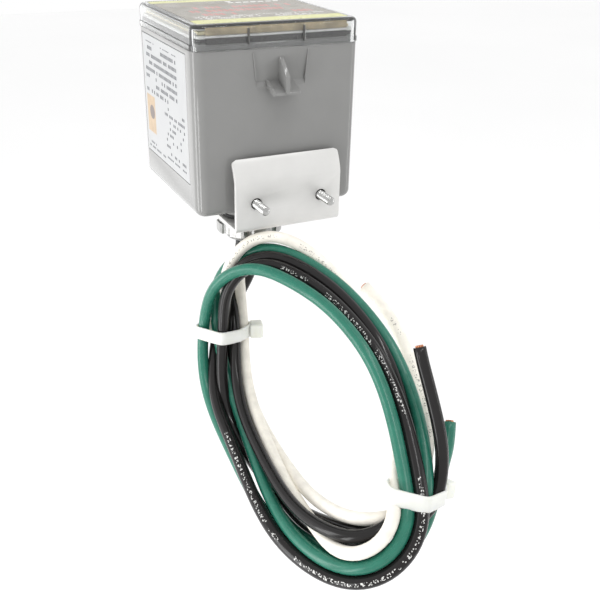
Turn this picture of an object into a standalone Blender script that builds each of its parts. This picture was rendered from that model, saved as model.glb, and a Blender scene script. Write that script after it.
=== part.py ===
"""Whole house surge protector: a sealed plastic box on a steel mounting bracket, with four leads in a coil.

Frame: the origin is the centre of the bracket's outer mounting face, midway between its two studs.
+Z is up, +X runs along the bracket, and -Y points out of the mounting face. Lengths are in metres.
"""
import math

import bmesh
import bpy
from mathutils import Matrix, Vector

MM = 0.001

# Driving dimensions
GAP = 0.3 * MM                    # clearance between pieces that touch
BOX_WIDTH = 70.0 * MM
BOX_DEPTH = 70.0 * MM
BOX_CENTRE_X = -1.5 * MM
BOX_FRONT_Y = 7.0 * MM            # the box stands this far behind the mounting face
BOX_BOTTOM_Z = -6.1 * MM
SEAM_Z = 59.5 * MM                # where the housing and its clear cover meet
COVER_TOP_Z = 68.7 * MM
CORNER_RADIUS = 4.4 * MM
BOTTOM_EDGE_RADIUS = 3.0 * MM
WALL = 3.0 * MM
FLOOR = 2.8 * MM
COVER_WALL = 1.8 * MM
LABEL_THICKNESS = 0.3 * MM
LABEL_POCKET = 0.6 * MM

BRACKET_SHEET = 1.8 * MM
BRACKET_HALF_WIDTH = 23.4 * MM
BRACKET_BOTTOM_Z = -12.0 * MM
BRACKET_BEND_Z = 8.7 * MM         # above this height the plate leans back
BRACKET_TOP_Z = 17.7 * MM
BRACKET_LEAN = 3.6 * MM
FLANGE_END_Y = 36.0 * MM
STUD_SPACING = 28.8 * MM
STUD_RADIUS = 1.7 * MM
STUD_LENGTH = 9.4 * MM
STUD_CLEARANCE = 0.5 * MM

NIPPLE_X = -9.6 * MM
NIPPLE_Y = 19.6 * MM
NIPPLE_RADIUS = 10.6 * MM         # 1/2 inch conduit thread
NIPPLE_BORE = 7.9 * MM
NIPPLE_END_Z = -20.6 * MM
LOCKNUT_RADIUS = 14.0 * MM
LOCKNUT_THICKNESS = 4.2 * MM
WASHER_THICKNESS = 1.0 * MM

WIRE = 4.8 * MM                   # insulated lead, 10 AWG machine tool wire
COPPER = 3.1 * MM

# Middle line of the coil of leads, a closed loop that hangs in front of the bracket (millimetres)
COIL_LINE = [
    (-13, -3, -20), (-27, 7, -34), (-27, 10, -60), (-31, -6, -79), (-33, -31, -89),
    (-35, -77, -93), (-27, -109, -87), (-11, -115, -79), (0, -107, -72), (6, -93, -62),
    (9, -77, -51), (8, -58, -38), (2, -28, -26),
]
# Thickness of the bundle at each of those points: five leads at the top, nine lower down (millimetres)
COIL_RADIUS = [5.5, 6.0, 8.6, 9.5, 10.0, 11.0, 11.5, 10.0, 7.5, 6.6, 6.6, 7.0, 6.5]
LEFT_TIE_AT = 2.0                 # ties, counted in points along the coil's middle line
RIGHT_TIE_AT = 8.0

# Routes of the leads' free ends, from the right tie to the cut ends (millimetres)
TAILS = {
    "white": [(17, -87, -61.5), (21, -77, -59), (25, -62, -53), (27, -51, -47), (27, -36, -39),
              (23, -25, -33)],
    "black_a": [(11, -104, -63), (13, -99, -58), (15, -89, -48), (16, -81, -40), (16, -76.6, -32.8)],
    "black_b": [(5, -97, -77), (11, -84, -68), (14, -74, -60)],
    "green": [(15, -99, -70), (18, -97, -67), (21, -93, -63), (23, -90, -59)],
}
# Drops from the nipple's mouth to the coil (millimetres)
DROPS = {
    "white": [(-12.2, 17, -21.1), (-12.4, 17.1, -28), (-14.5, 17.5, -36), (-17, 16.2, -42.5)],
    "black_a": [(-7, 17, -21.1), (-7.2, 17.3, -29), (-9.3, 18.2, -37), (-12, 18.3, -44)],
    "black_b": [(-12.2, 22.2, -21.1), (-12.6, 22.4, -28), (-15.5, 23, -36), (-19, 21.5, -44)],
    "green": [(-7, 22.2, -21.1), (-7.2, 22.5, -30), (-9.3, 23.6, -40), (-13, 23.4, -47)],
}
LEAD_COLOURS = {
    "white": (0.87, 0.83, 0.72), "black_a": (0.03, 0.03, 0.03),
    "black_b": (0.03, 0.03, 0.03), "green": (0.04, 0.22, 0.16),
}

PARTS = None
CUTTERS = None


def clear_scene():
    for obj in list(bpy.data.objects):
        bpy.data.objects.remove(obj, do_unlink=True)


def make_collection(name):
    collection = bpy.data.collections.new(name)
    bpy.context.scene.collection.children.link(collection)
    return collection


def make_material(name, colour, roughness, metallic=0.0, alpha=1.0):
    material = bpy.data.materials.new(name)
    material.use_nodes = True
    shader = material.node_tree.nodes["Principled BSDF"]
    shader.inputs["Base Color"].default_value = (*colour, 1.0)
    shader.inputs["Roughness"].default_value = roughness
    shader.inputs["Metallic"].default_value = metallic
    shader.inputs["Alpha"].default_value = alpha
    return material


def link(obj, material):
    """Put a piece in the parts collection and give it its material."""
    PARTS.objects.link(obj)
    obj.data.materials.clear()
    obj.data.materials.append(material)
    return obj


def shade_round(obj, angle=35):
    obj.data.shade_smooth()
    obj.data.set_sharp_from_angle(angle=math.radians(angle))


def as_cutter(obj):
    CUTTERS.objects.link(obj)
    obj.hide_render = True
    obj.display_type = "WIRE"
    return obj


def cut(obj, cutter, operation="DIFFERENCE"):
    modifier = obj.modifiers.new(operation.title(), "BOOLEAN")
    modifier.operation = operation
    modifier.solver = "EXACT"
    modifier.object = cutter
    return obj


def object_from_bmesh(name, mesh_data):
    mesh = bpy.data.meshes.new(name)
    mesh_data.to_mesh(mesh)
    mesh_data.free()
    return bpy.data.objects.new(name, mesh)


def block(name, low, high, corner=0.0, bottom=0.0, top=0.0, segments=4):
    """A box between two corners, with rounded upright edges and, if asked, rounded rims."""
    size = [high[i] - low[i] for i in range(3)]
    centre = [(high[i] + low[i]) / 2 for i in range(3)]
    solid = bmesh.new()
    bmesh.ops.create_cube(solid, size=1.0)
    bmesh.ops.scale(solid, vec=size, verts=solid.verts)
    bmesh.ops.translate(solid, vec=centre, verts=solid.verts)
    if corner > 0:
        upright = [e for e in solid.edges if abs(e.verts[0].co.z - e.verts[1].co.z) > size[2] / 2]
        bmesh.ops.bevel(solid, geom=upright, offset=corner, segments=segments, profile=0.5,
                        affect="EDGES")
    for radius, level in ((bottom, low[2]), (top, high[2])):
        if radius > 0:
            rim = [e for e in solid.edges if all(abs(v.co.z - level) < 1e-6 for v in e.verts)]
            bmesh.ops.bevel(solid, geom=rim, offset=radius, segments=segments, profile=0.5,
                            affect="EDGES")
    return object_from_bmesh(name, solid)


def cylinder(name, centre, radius, low, high, axis="Z", segments=32):
    """A cylinder on a line along one axis, between two levels on that axis."""
    solid = bmesh.new()
    bmesh.ops.create_cone(solid, cap_ends=True, segments=segments, radius1=radius, radius2=radius,
                          depth=high - low)
    obj = object_from_bmesh(name, solid)
    middle = (low + high) / 2
    if axis == "Z":
        obj.location = (centre[0], centre[1], middle)
    elif axis == "Y":
        obj.rotation_euler = (math.radians(90), 0, 0)
        obj.location = (centre[0], middle, centre[1])
    else:
        obj.rotation_euler = (0, math.radians(90), 0)
        obj.location = (middle, centre[0], centre[1])
    return obj


def turned(name, centre, profile, steps=32):
    """A body turned about an upright axis, from (radius, height) points listed down its outer side."""
    outline = bmesh.new()
    verts = [outline.verts.new((radius, 0, height)) for radius, height in profile]
    for i, vert in enumerate(verts):
        outline.edges.new((vert, verts[(i + 1) % len(verts)]))
    obj = object_from_bmesh(name, outline)
    obj.location = (centre[0], centre[1], 0)
    screw = obj.modifiers.new("Screw", "SCREW")
    screw.steps = steps
    screw.render_steps = steps
    screw.use_merge_vertices = True
    screw.merge_threshold = 0.00001
    screw.use_smooth_shade = False
    return obj


def ring(name, centre, outer, inner, low, high, steps=32):
    return turned(name, centre, [(outer, high), (outer, low), (inner, low), (inner, high)], steps)


def spline_point(points, at, closed):
    """A point of the smooth curve through a list of points, with 'at' counted in points."""
    count = len(points)
    base = int(math.floor(at))
    if not closed:
        base = min(base, count - 2)
    part = at - base
    near = []
    for k in (-1, 0, 1, 2):
        index = base + k
        near.append(Vector(points[index % count if closed else min(max(index, 0), count - 1)]))
    a, b, c, d = near
    return 0.5 * (2 * b + (c - a) * part + (2 * a - 5 * b + 4 * c - d) * part ** 2
                  + (3 * b - a - 3 * c + d) * part ** 3)


def smooth_route(points, per_span, closed=False):
    """Points along the smooth curve through a route's own points, given in millimetres."""
    spans = len(points) if closed else len(points) - 1
    total = spans * per_span
    stops = total if closed else total + 1
    return [spline_point(points, i / per_span, closed) * MM for i in range(stops)]


def tube(name, points, radius, resolution=2, closed=False, radii=None):
    """A tube along a line of points, as a curve with a round bevel."""
    data = bpy.data.curves.new(name, "CURVE")
    data.dimensions = "3D"
    data.bevel_depth = radius
    data.bevel_resolution = resolution
    data.use_fill_caps = not closed
    spline = data.splines.new("POLY")
    spline.points.add(len(points) - 1)
    for i, point in enumerate(points):
        spline.points[i].co = (*point, 1.0)
        spline.points[i].radius = radii[i] if radii else 1.0
    spline.use_cyclic_u = closed
    return bpy.data.objects.new(name, data)


def mesh_from_curve(curve_object):
    """Turn a curve object into a closed mesh object in the same place."""
    bpy.context.scene.collection.objects.link(curve_object)
    graph = bpy.context.evaluated_depsgraph_get()
    mesh = bpy.data.meshes.new_from_object(curve_object.evaluated_get(graph))
    welded = bmesh.new()
    welded.from_mesh(mesh)
    bmesh.ops.remove_doubles(welded, verts=welded.verts, dist=0.000001)
    welded.to_mesh(mesh)
    welded.free()
    name = curve_object.name
    place = curve_object.matrix_world.copy()
    bpy.data.objects.remove(curve_object)
    result = bpy.data.objects.new(name, mesh)
    result.matrix_world = place
    return result


def plate(name, outline, thickness, plane="XY", level=0.0):
    """A flat outline with a thickness; 'level' is the middle of the thickness."""
    data = bpy.data.curves.new(name, "CURVE")
    data.dimensions = "2D"
    data.fill_mode = "BOTH"
    data.extrude = thickness / 2
    spline = data.splines.new("POLY")
    spline.points.add(len(outline) - 1)
    for point, (u, v) in zip(spline.points, outline):
        point.co = (u, v, 0, 1)
    spline.use_cyclic_u = True
    obj = bpy.data.objects.new(name, data)
    if plane == "XZ":
        obj.rotation_euler = (math.radians(90), 0, 0)
        obj.location = (0, level, 0)
    elif plane == "YZ":
        obj.rotation_euler = (math.radians(90), 0, math.radians(90))
        obj.location = (level, 0, 0)
    else:
        obj.location = (0, 0, level)
    bpy.context.view_layer.update()
    return mesh_from_curve(obj)


def arc(centre, radius, start, end, count):
    """Points on an arc, with its angles in degrees."""
    angles = [math.radians(start + (end - start) * i / (count - 1)) for i in range(count)]
    return [(centre[0] + radius * math.cos(a), centre[1] + radius * math.sin(a)) for a in angles]


def box_span(inset):
    """Low and high X and Y of the box's outer side, moved inwards by an inset."""
    half = BOX_WIDTH / 2 - inset
    return (BOX_CENTRE_X - half, BOX_FRONT_Y + inset, BOX_CENTRE_X + half,
            BOX_FRONT_Y + BOX_DEPTH - inset)


def box_block(name, inset, low_z, high_z, bottom=0.0, top=0.0, segments=4):
    x0, y0, x1, y1 = box_span(inset)
    corner = max(CORNER_RADIUS - inset, 0.8 * MM)
    return block(name, (x0, y0, low_z), (x1, y1, high_z), corner, bottom, top, segments)


def box_frame(name, outer_inset, inner_inset, low_z, high_z, material):
    """A rectangular ring that follows the box's wall."""
    frame = link(box_block(name, outer_inset, low_z, high_z), material)
    hole = as_cutter(box_block(name + "_hole", inner_inset, low_z - MM, high_z + MM))
    return cut(frame, hole)


# Housing -----------------------------------------------------------------------------------------
LIP_INSET = COVER_WALL + GAP
LIP_TOP_Z = SEAM_Z + 2.3 * MM
FLOOR_TOP_Z = BOX_BOTTOM_Z + FLOOR
BOSS_RADIUS = 12.4 * MM
BOSS_END_Z = BOX_BOTTOM_Z - 2.4 * MM
POST_RADIUS = 3.2 * MM
BOARD_BOTTOM_Z = 42.0 * MM
BOARD_THICKNESS = 1.6 * MM
BOARD_INSET = 6.0 * MM
POST_INSET = 10.0 * MM

LATCH_X = -1.0 * MM
LATCH_BOTTOM_Z = 46.5 * MM
LATCH_TOP_Z = 58.6 * MM
LATCH_DEPTH = 1.9 * MM
LATCH_TOP_HALF = 11.7 * MM
LATCH_BOTTOM_HALF = 10.4 * MM
TRAY_HALF = 5.9 * MM
TRAY_REACH = 6.0 * MM
TRAY_SHEET = 1.1 * MM
TRAY_LIP = 0.7 * MM
SLIVER = 0.12 * MM                # keeps joined shapes from sharing a plane
RIB_THICKNESS = 1.8 * MM

RATING_LABEL_Y = (16.5 * MM, 72.0 * MM)
RATING_LABEL_Z = (6.0 * MM, 57.0 * MM)


def latch_pocket():
    """The wedge cut in the front wall, flush at the top and deepest at the bottom."""
    low, high = LATCH_BOTTOM_Z, LATCH_TOP_Z
    side = [(BOX_FRONT_Y - MM, high + 2 * MM), (BOX_FRONT_Y - MM, low - LATCH_DEPTH),
            (BOX_FRONT_Y, low - LATCH_DEPTH), (BOX_FRONT_Y + LATCH_DEPTH, low), (BOX_FRONT_Y, high)]
    wedge = plate("latch_wedge", side, 2 * LATCH_TOP_HALF, "YZ", LATCH_X)
    for vert in wedge.data.vertices:
        place = wedge.matrix_world @ vert.co
        share = min(max((place.z - low) / (high - low), 0.0), 1.0)
        half = LATCH_BOTTOM_HALF + share * (LATCH_TOP_HALF - LATCH_BOTTOM_HALF)
        place.x = LATCH_X + math.copysign(half, place.x - LATCH_X)
        vert.co = wedge.matrix_world.inverted() @ place
    return as_cutter(wedge)


def latch_tray():
    """The sloping tray under the pocket, with a raised edge at its sides."""
    root = BOX_FRONT_Y + 2.4 * MM
    front = BOX_FRONT_Y - TRAY_REACH
    back_z = LATCH_BOTTOM_Z + 0.9 * MM
    front_z = 43.2 * MM
    floor = [(root, back_z + MM), (front, front_z), (front, front_z - TRAY_SHEET),
             (root, back_z + MM - 1.6 * TRAY_SHEET)]
    middle = 0.5 * TRAY_SHEET
    side = [(root, back_z + MM + TRAY_LIP), (front + SLIVER, front_z + TRAY_LIP),
            (front + SLIVER, front_z - middle), (root, back_z + MM - middle)]
    pieces = [plate("tray_floor", floor, 2 * TRAY_HALF, "YZ", LATCH_X)]
    for name, direction in (("tray_left", -1), ("tray_right", 1)):
        level = LATCH_X + direction * (TRAY_HALF - SLIVER - TRAY_SHEET / 2)
        pieces.append(plate(name, side, TRAY_SHEET, "YZ", level))
    return [as_cutter(piece) for piece in pieces]


def latch_rib():
    """The upright rib in the middle of the pocket, which slopes out and then drops straight."""
    root = BOX_FRONT_Y + 2.4 * MM
    outline = [(root, 56.6 * MM), (BOX_FRONT_Y - 0.2 * MM, 55.6 * MM), (0.6 * MM, 49.2 * MM),
               (0.4 * MM, 42.6 * MM), (root, 44.6 * MM)]
    return as_cutter(plate("latch_rib", outline, RIB_THICKNESS, "YZ", LATCH_X + 0.2 * MM))


def post_places():
    x0, y0, x1, y1 = box_span(POST_INSET)
    return [(x0, y0), (x1, y0), (x0, y1), (x1, y1)]


def base_housing(material):
    body = link(box_block("base_housing", 0, BOX_BOTTOM_Z, SEAM_Z - GAP, bottom=BOTTOM_EDGE_RADIUS,
                          segments=5), material)
    boss = as_cutter(cylinder("housing_boss", (NIPPLE_X, NIPPLE_Y), BOSS_RADIUS, BOSS_END_Z,
                              FLOOR_TOP_Z - MM))
    lip = as_cutter(box_block("housing_lip", LIP_INSET, SEAM_Z - 3 * MM, LIP_TOP_Z))
    inside = as_cutter(box_block("housing_inside", WALL, FLOOR_TOP_Z, SEAM_Z + 10 * MM))
    cut(body, boss, "UNION")
    cut(body, lip, "UNION")
    cut(body, inside)
    pad_low = (LATCH_X - 13 * MM, BOX_FRONT_Y + 2 * MM, LATCH_BOTTOM_Z - 6 * MM)
    pad_high = (LATCH_X + 13 * MM, BOX_FRONT_Y + WALL + 2.2 * MM, LATCH_TOP_Z - 4 * MM)
    cut(body, as_cutter(block("latch_backing", pad_low, pad_high)), "UNION")
    cut(body, latch_pocket())
    for piece in latch_tray():
        cut(body, piece, "UNION")
    cut(body, latch_rib(), "UNION")
    for index, place in enumerate(post_places()):
        post = cylinder("housing_post_%d" % index, place, POST_RADIUS, FLOOR_TOP_Z - MM,
                        BOARD_BOTTOM_Z - GAP, segments=16)
        cut(body, as_cutter(post), "UNION")
        pilot = cylinder("housing_pilot_%d" % index, place, SCREW_RADIUS + GAP,
                         BOARD_BOTTOM_Z - 8 * MM, BOARD_BOTTOM_Z + MM, segments=12)
        cut(body, as_cutter(pilot))
    seat = cylinder("nipple_seat", (NIPPLE_X, NIPPLE_Y), NIPPLE_RADIUS + GAP, BOSS_END_Z - MM,
                    FLOOR_TOP_Z + MM, segments=48)
    cut(body, as_cutter(seat))
    x0 = box_span(0)[0]
    pocket = block("rating_pocket", (x0 - MM, RATING_LABEL_Y[0] - GAP, RATING_LABEL_Z[0] - GAP),
                   (x0 + LABEL_POCKET, RATING_LABEL_Y[1] + GAP, RATING_LABEL_Z[1] + GAP))
    cut(body, as_cutter(pocket))
    shade_round(body)
    return body


def conduit_nipple(material):
    """The tube bonded in the boss under the box, which the leads come out of."""
    return link(ring("conduit_nipple", (NIPPLE_X, NIPPLE_Y), NIPPLE_RADIUS, NIPPLE_BORE,
                     NIPPLE_END_Z, FLOOR_TOP_Z, 48), material)


# Cover and what lies under it --------------------------------------------------------------------
SKIRT = 0.35 * MM
SKIRT_HEIGHT = 1.9 * MM
COVER_EDGE_RADIUS = 3.6 * MM
COVER_RIB_X = (-13.5 * MM, 9.5 * MM)
GASKET_TOP_Z = LIP_TOP_Z + GAP + 1.2 * MM
INNER_FRAME_TOP_Z = GASKET_TOP_Z + GAP + 1.0 * MM
CARD_TOP_Z = INNER_FRAME_TOP_Z + GAP + 0.9 * MM
TOP_LABEL_X = (-33.0 * MM, 30.0 * MM)
TOP_LABEL_Y = (11.0 * MM, 73.0 * MM)


def clear_cover(material):
    cover = link(box_block("clear_cover", 0, SEAM_Z, COVER_TOP_Z, top=COVER_EDGE_RADIUS,
                           segments=5), material)
    skirt = box_block("cover_skirt", -SKIRT, SEAM_Z, SEAM_Z + SKIRT_HEIGHT)
    cut(cover, as_cutter(skirt), "UNION")
    inside = box_block("cover_inside", COVER_WALL, SEAM_Z - MM, COVER_TOP_Z - COVER_WALL,
                       top=COVER_EDGE_RADIUS - COVER_WALL, segments=4)
    cut(cover, as_cutter(inside))
    pocket = block("top_pocket", (TOP_LABEL_X[0] - GAP, TOP_LABEL_Y[0] - GAP, COVER_TOP_Z - LABEL_POCKET),
                   (TOP_LABEL_X[1] + GAP, TOP_LABEL_Y[1] + GAP, COVER_TOP_Z + MM))
    cut(cover, as_cutter(pocket))
    shade_round(cover)
    return cover


def cover_frame_rings(materials):
    """The gasket on the housing's lip, and the white frame that clamps it."""
    gasket = box_frame("cover_gasket", LIP_INSET, LIP_INSET + 2.2 * MM, LIP_TOP_Z + GAP,
                       GASKET_TOP_Z, materials["rubber"])
    frame = box_frame("inner_frame", LIP_INSET, LIP_INSET + 4.5 * MM, GASKET_TOP_Z + GAP,
                      INNER_FRAME_TOP_Z, materials["white_plastic"])
    return gasket, frame


def light_pipe_places():
    return [(BOX_CENTRE_X + side * 7 * MM, BOX_FRONT_Y + 16 * MM) for side in (-1, 1)]


def label_card(material):
    """The stiff card under the cover's top, with two holes for the indicator lights."""
    inset = COVER_EDGE_RADIUS
    card = link(box_block("label_card", inset, INNER_FRAME_TOP_Z + GAP, CARD_TOP_Z), material)
    for index, place in enumerate(light_pipe_places()):
        hole = cylinder("card_hole_%d" % index, place, PIPE_RADIUS + GAP, INNER_FRAME_TOP_Z,
                        CARD_TOP_Z + MM, segments=20)
        cut(card, as_cutter(hole))
    return card


def top_label(material):
    top = COVER_TOP_Z - LABEL_POCKET + GAP + LABEL_THICKNESS
    return link(block("top_label", (TOP_LABEL_X[0], TOP_LABEL_Y[0], top - LABEL_THICKNESS),
                      (TOP_LABEL_X[1], TOP_LABEL_Y[1], top), 1.0 * MM), material)


def rating_label(material):
    x0 = box_span(0)[0]
    return link(block("rating_label", (x0, RATING_LABEL_Y[0], RATING_LABEL_Z[0]),
                      (x0 + LABEL_THICKNESS, RATING_LABEL_Y[1], RATING_LABEL_Z[1])), material)


# Bracket, studs, nipple and locknut --------------------------------------------------------------
WASHER_TOP_Z = BRACKET_BOTTOM_Z - GAP
WASHER_BOTTOM_Z = WASHER_TOP_Z - WASHER_THICKNESS
LOCKNUT_TOP_Z = WASHER_BOTTOM_Z - 0.1 * MM
LOCKNUT_BOTTOM_Z = LOCKNUT_TOP_Z - LOCKNUT_THICKNESS
LOCKNUT_LUGS = 8
THREAD_CLEARANCE = 0.5 * MM       # the smooth bores of the nut and washer, past the thread's crests
LUG_DEPTH = 1.6 * MM


def bracket_profile():
    """Side view of the bent sheet: flat face, upper part leaning back, and the bottom flange."""
    sheet = BRACKET_SHEET
    bend = 2.4 * MM
    base = BRACKET_BOTTOM_Z
    outer = arc((bend, base + bend), bend, 270, 180, 6)
    inner = arc((bend, base + bend), bend - sheet, 180, 270, 6)
    lean = []
    steps = 5
    for i in range(steps + 1):
        share = i / steps
        height = BRACKET_BEND_Z + share * (BRACKET_TOP_Z - BRACKET_BEND_Z)
        lean.append((BRACKET_LEAN * share ** 1.5, height))
    back = [(y + sheet, z - 0.35 * sheet * i / steps) for i, (y, z) in enumerate(lean)]
    return ([(FLANGE_END_Y, base)] + outer + lean + back[::-1] + inner
            + [(FLANGE_END_Y, base + sheet)])


def mounting_bracket(material):
    bracket = link(plate("mounting_bracket", bracket_profile(), 2 * BRACKET_HALF_WIDTH, "YZ"),
                   material)
    front = block("bracket_front", (-BRACKET_HALF_WIDTH, BRACKET_BOTTOM_Z - 9 * MM, -9 * MM),
                  (BRACKET_HALF_WIDTH, BRACKET_TOP_Z, 9 * MM), 1.8 * MM, segments=5)
    front.rotation_euler = (math.radians(90), 0, 0)
    front.location = (0, 0, 0)
    flange_front = block("bracket_flange", (-BRACKET_HALF_WIDTH - MM, -MM, BRACKET_BOTTOM_Z - MM),
                         (BRACKET_HALF_WIDTH + MM, FLANGE_END_Y + MM, BRACKET_BOTTOM_Z + 5 * MM))
    cut(front, as_cutter(flange_front), "UNION")
    cut(bracket, as_cutter(front), "INTERSECT")
    hole = cylinder("bracket_nipple_hole", (NIPPLE_X, NIPPLE_Y), NIPPLE_RADIUS + 0.6 * MM,
                    BRACKET_BOTTOM_Z - MM, BRACKET_BOTTOM_Z + 3 * MM)
    cut(bracket, as_cutter(hole))
    for index, side in enumerate((-1, 1)):
        stud_hole = cylinder("stud_hole_%d" % index, (side * STUD_SPACING / 2, 0),
                             STUD_RADIUS + STUD_CLEARANCE, -MM, BRACKET_SHEET + MM, "Y", 20)
        cut(bracket, as_cutter(stud_hole))
    return bracket


def mounting_stud(name, side, material):
    """A threaded stud with a round head behind the plate."""
    place = (side * STUD_SPACING / 2, 0)
    stud = link(cylinder(name, place, STUD_RADIUS, -STUD_LENGTH, BRACKET_SHEET + 1.5 * MM, "Y", 20),
                material)
    head = cylinder(name + "_head", place, 3.3 * MM, BRACKET_SHEET + GAP, BRACKET_SHEET + 2.6 * MM,
                    "Y", 20)
    cut(stud, as_cutter(head), "UNION")
    shade_round(stud)
    return stud


def sealing_gasket(material):
    return link(ring("sealing_gasket", (NIPPLE_X, NIPPLE_Y), BOSS_RADIUS, NIPPLE_RADIUS + GAP,
                     BRACKET_BOTTOM_Z + BRACKET_SHEET + GAP, BOSS_END_Z - GAP), material)


def bonding_washer(material):
    return link(ring("bonding_washer", (NIPPLE_X, NIPPLE_Y), LOCKNUT_RADIUS - 0.6 * MM,
                     NIPPLE_RADIUS + THREAD_CLEARANCE, WASHER_BOTTOM_Z, WASHER_TOP_Z), material)


def locknut(material):
    """A ring with lugs round its edge, cut by scallops between them."""
    bore = NIPPLE_RADIUS + THREAD_CLEARANCE
    nut = link(ring("locknut", (NIPPLE_X, NIPPLE_Y), LOCKNUT_RADIUS, bore, LOCKNUT_BOTTOM_Z,
                    LOCKNUT_TOP_Z, 48), material)
    for index in range(LOCKNUT_LUGS):
        angle = 2 * math.pi * (index + 0.5) / LOCKNUT_LUGS
        reach = LOCKNUT_RADIUS + 2.6 * MM - LUG_DEPTH
        centre = (NIPPLE_X + reach * math.cos(angle), NIPPLE_Y + reach * math.sin(angle))
        scallop = cylinder("locknut_scallop_%d" % index, centre, 2.6 * MM,
                           LOCKNUT_BOTTOM_Z - MM, LOCKNUT_TOP_Z + MM, segments=16)
        cut(nut, as_cutter(scallop))
    return nut


# Circuit board and its components ----------------------------------------------------------------
SCREW_RADIUS = 1.2 * MM
PIPE_RADIUS = 1.5 * MM
VARISTOR_RADIUS = 11.0 * MM
VARISTOR_THICKNESS = 5.5 * MM
BOARD_TOP_Z = BOARD_BOTTOM_Z + BOARD_THICKNESS
LEAD_TOP_Z = 30.0 * MM


def lead_places():
    """Where the leads stand in the nipple's bore, and the terminals above them."""
    reach = 2.6 * MM
    return {"white": (-reach, -reach), "black_a": (reach, -reach),
            "black_b": (-reach, reach), "green": (reach, reach)}


def terminal_place(name):
    dx, dy = lead_places()[name]
    return NIPPLE_X + 2.0 * dx, NIPPLE_Y + 5 * MM + 2.0 * dy


def circuit_board(material):
    x0, y0, x1, y1 = box_span(BOARD_INSET)
    board = link(block("circuit_board", (x0, y0, BOARD_BOTTOM_Z), (x1, y1, BOARD_TOP_Z), 2 * MM),
                 material)
    for index, place in enumerate(post_places()):
        hole = cylinder("board_hole_%d" % index, place, SCREW_RADIUS + GAP, BOARD_BOTTOM_Z - MM,
                        BOARD_TOP_Z + MM, segments=12)
        cut(board, as_cutter(hole))
    return board


def board_screw(name, place, material):
    screw = link(cylinder(name, place, SCREW_RADIUS, BOARD_BOTTOM_Z - 7 * MM, BOARD_TOP_Z + MM,
                          segments=12), material)
    head = cylinder(name + "_head", place, 2.4 * MM, BOARD_TOP_Z + GAP, BOARD_TOP_Z + 1.9 * MM,
                    segments=16)
    cut(screw, as_cutter(head), "UNION")
    shade_round(screw)
    return screw


def varistor(name, y, material):
    """A disc varistor that hangs under the board, flat to the front."""
    centre = (BOX_CENTRE_X + 14 * MM, BOARD_BOTTOM_Z - GAP - VARISTOR_RADIUS)
    disc = link(cylinder(name, centre, VARISTOR_RADIUS, y, y + VARISTOR_THICKNESS, "Y", 28),
                material)
    shade_round(disc)
    return disc


def thermal_fuse(name, y, material):
    centre = (BOX_CENTRE_X + 14 * MM, BOARD_BOTTOM_Z - 2 * VARISTOR_RADIUS - 4 * MM)
    fuse = link(cylinder(name, (y + VARISTOR_THICKNESS / 2, centre[1]), 2.4 * MM,
                         centre[0] - 7 * MM, centre[0] + 7 * MM, "X", 16), material)
    shade_round(fuse)
    return fuse


def film_capacitor(material):
    low = (BOX_CENTRE_X - 24 * MM, BOX_FRONT_Y + 40 * MM, BOARD_BOTTOM_Z - GAP - 15 * MM)
    high = (BOX_CENTRE_X - 6 * MM, BOX_FRONT_Y + 52 * MM, BOARD_BOTTOM_Z - GAP)
    return link(block("film_capacitor", low, high, 1 * MM), material)


def terminal(name, material):
    """A brass post under the board, which its lead meets end on."""
    place = terminal_place(name)
    post = link(cylinder("terminal_" + name, place, 2.4 * MM, LEAD_TOP_Z + GAP,
                         BOARD_BOTTOM_Z - GAP, segments=16), material)
    shade_round(post)
    return post


def indicator(index, place, materials):
    """A light on the board, and the clear pipe that carries it up to the cover."""
    led_top = BOARD_TOP_Z + GAP + 3 * MM
    led = link(cylinder("indicator_led_%d" % index, place, 1.5 * MM, BOARD_TOP_Z + GAP, led_top,
                        segments=16), materials["green_led"])
    pipe = link(cylinder("light_pipe_%d" % index, place, PIPE_RADIUS, led_top + GAP,
                         CARD_TOP_Z, segments=16), materials["clear_plastic"])
    shade_round(led)
    shade_round(pipe)


# Leads, coil and ties ----------------------------------------------------------------------------
COIL_STEPS = 6                    # points per span of the coil's middle line
COIL_ACROSS = Vector((0.42, 0.79, -0.44)).normalized()   # the way the coil's flat side faces
TIE_WIDTH = 5.0 * MM
TIE_THICKNESS = 1.1 * MM
TIE_HEAD = (7.0 * MM, 6.0 * MM, 6.0 * MM)


def coil_point(at):
    return spline_point(COIL_LINE, at, True) * MM


def coil_frame(at):
    """At a place on the coil's middle line: away from the coil's middle, across it, and along it."""
    along = (coil_point(at + 0.05) - coil_point(at - 0.05)).normalized()
    across = (COIL_ACROSS - along * COIL_ACROSS.dot(along)).normalized()
    return across.cross(along), across, along


def coil_radius(at):
    """The bundle's radius at a place on its middle line."""
    count = len(COIL_RADIUS)
    base = int(math.floor(at))
    part = at - base
    blend = part * part * (3 - 2 * part)
    return (COIL_RADIUS[base % count] * (1 - blend) + COIL_RADIUS[(base + 1) % count] * blend) * MM


def lead_coil(material):
    """One closed solid of the outer shape of the coiled leads."""
    stops = [i / COIL_STEPS for i in range(len(COIL_LINE) * COIL_STEPS)]
    largest = max(COIL_RADIUS) * MM
    coil = tube("lead_coil", [coil_point(at) for at in stops], largest, 3, True,
                [coil_radius(at) / largest for at in stops])
    return link(coil, material)


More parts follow.
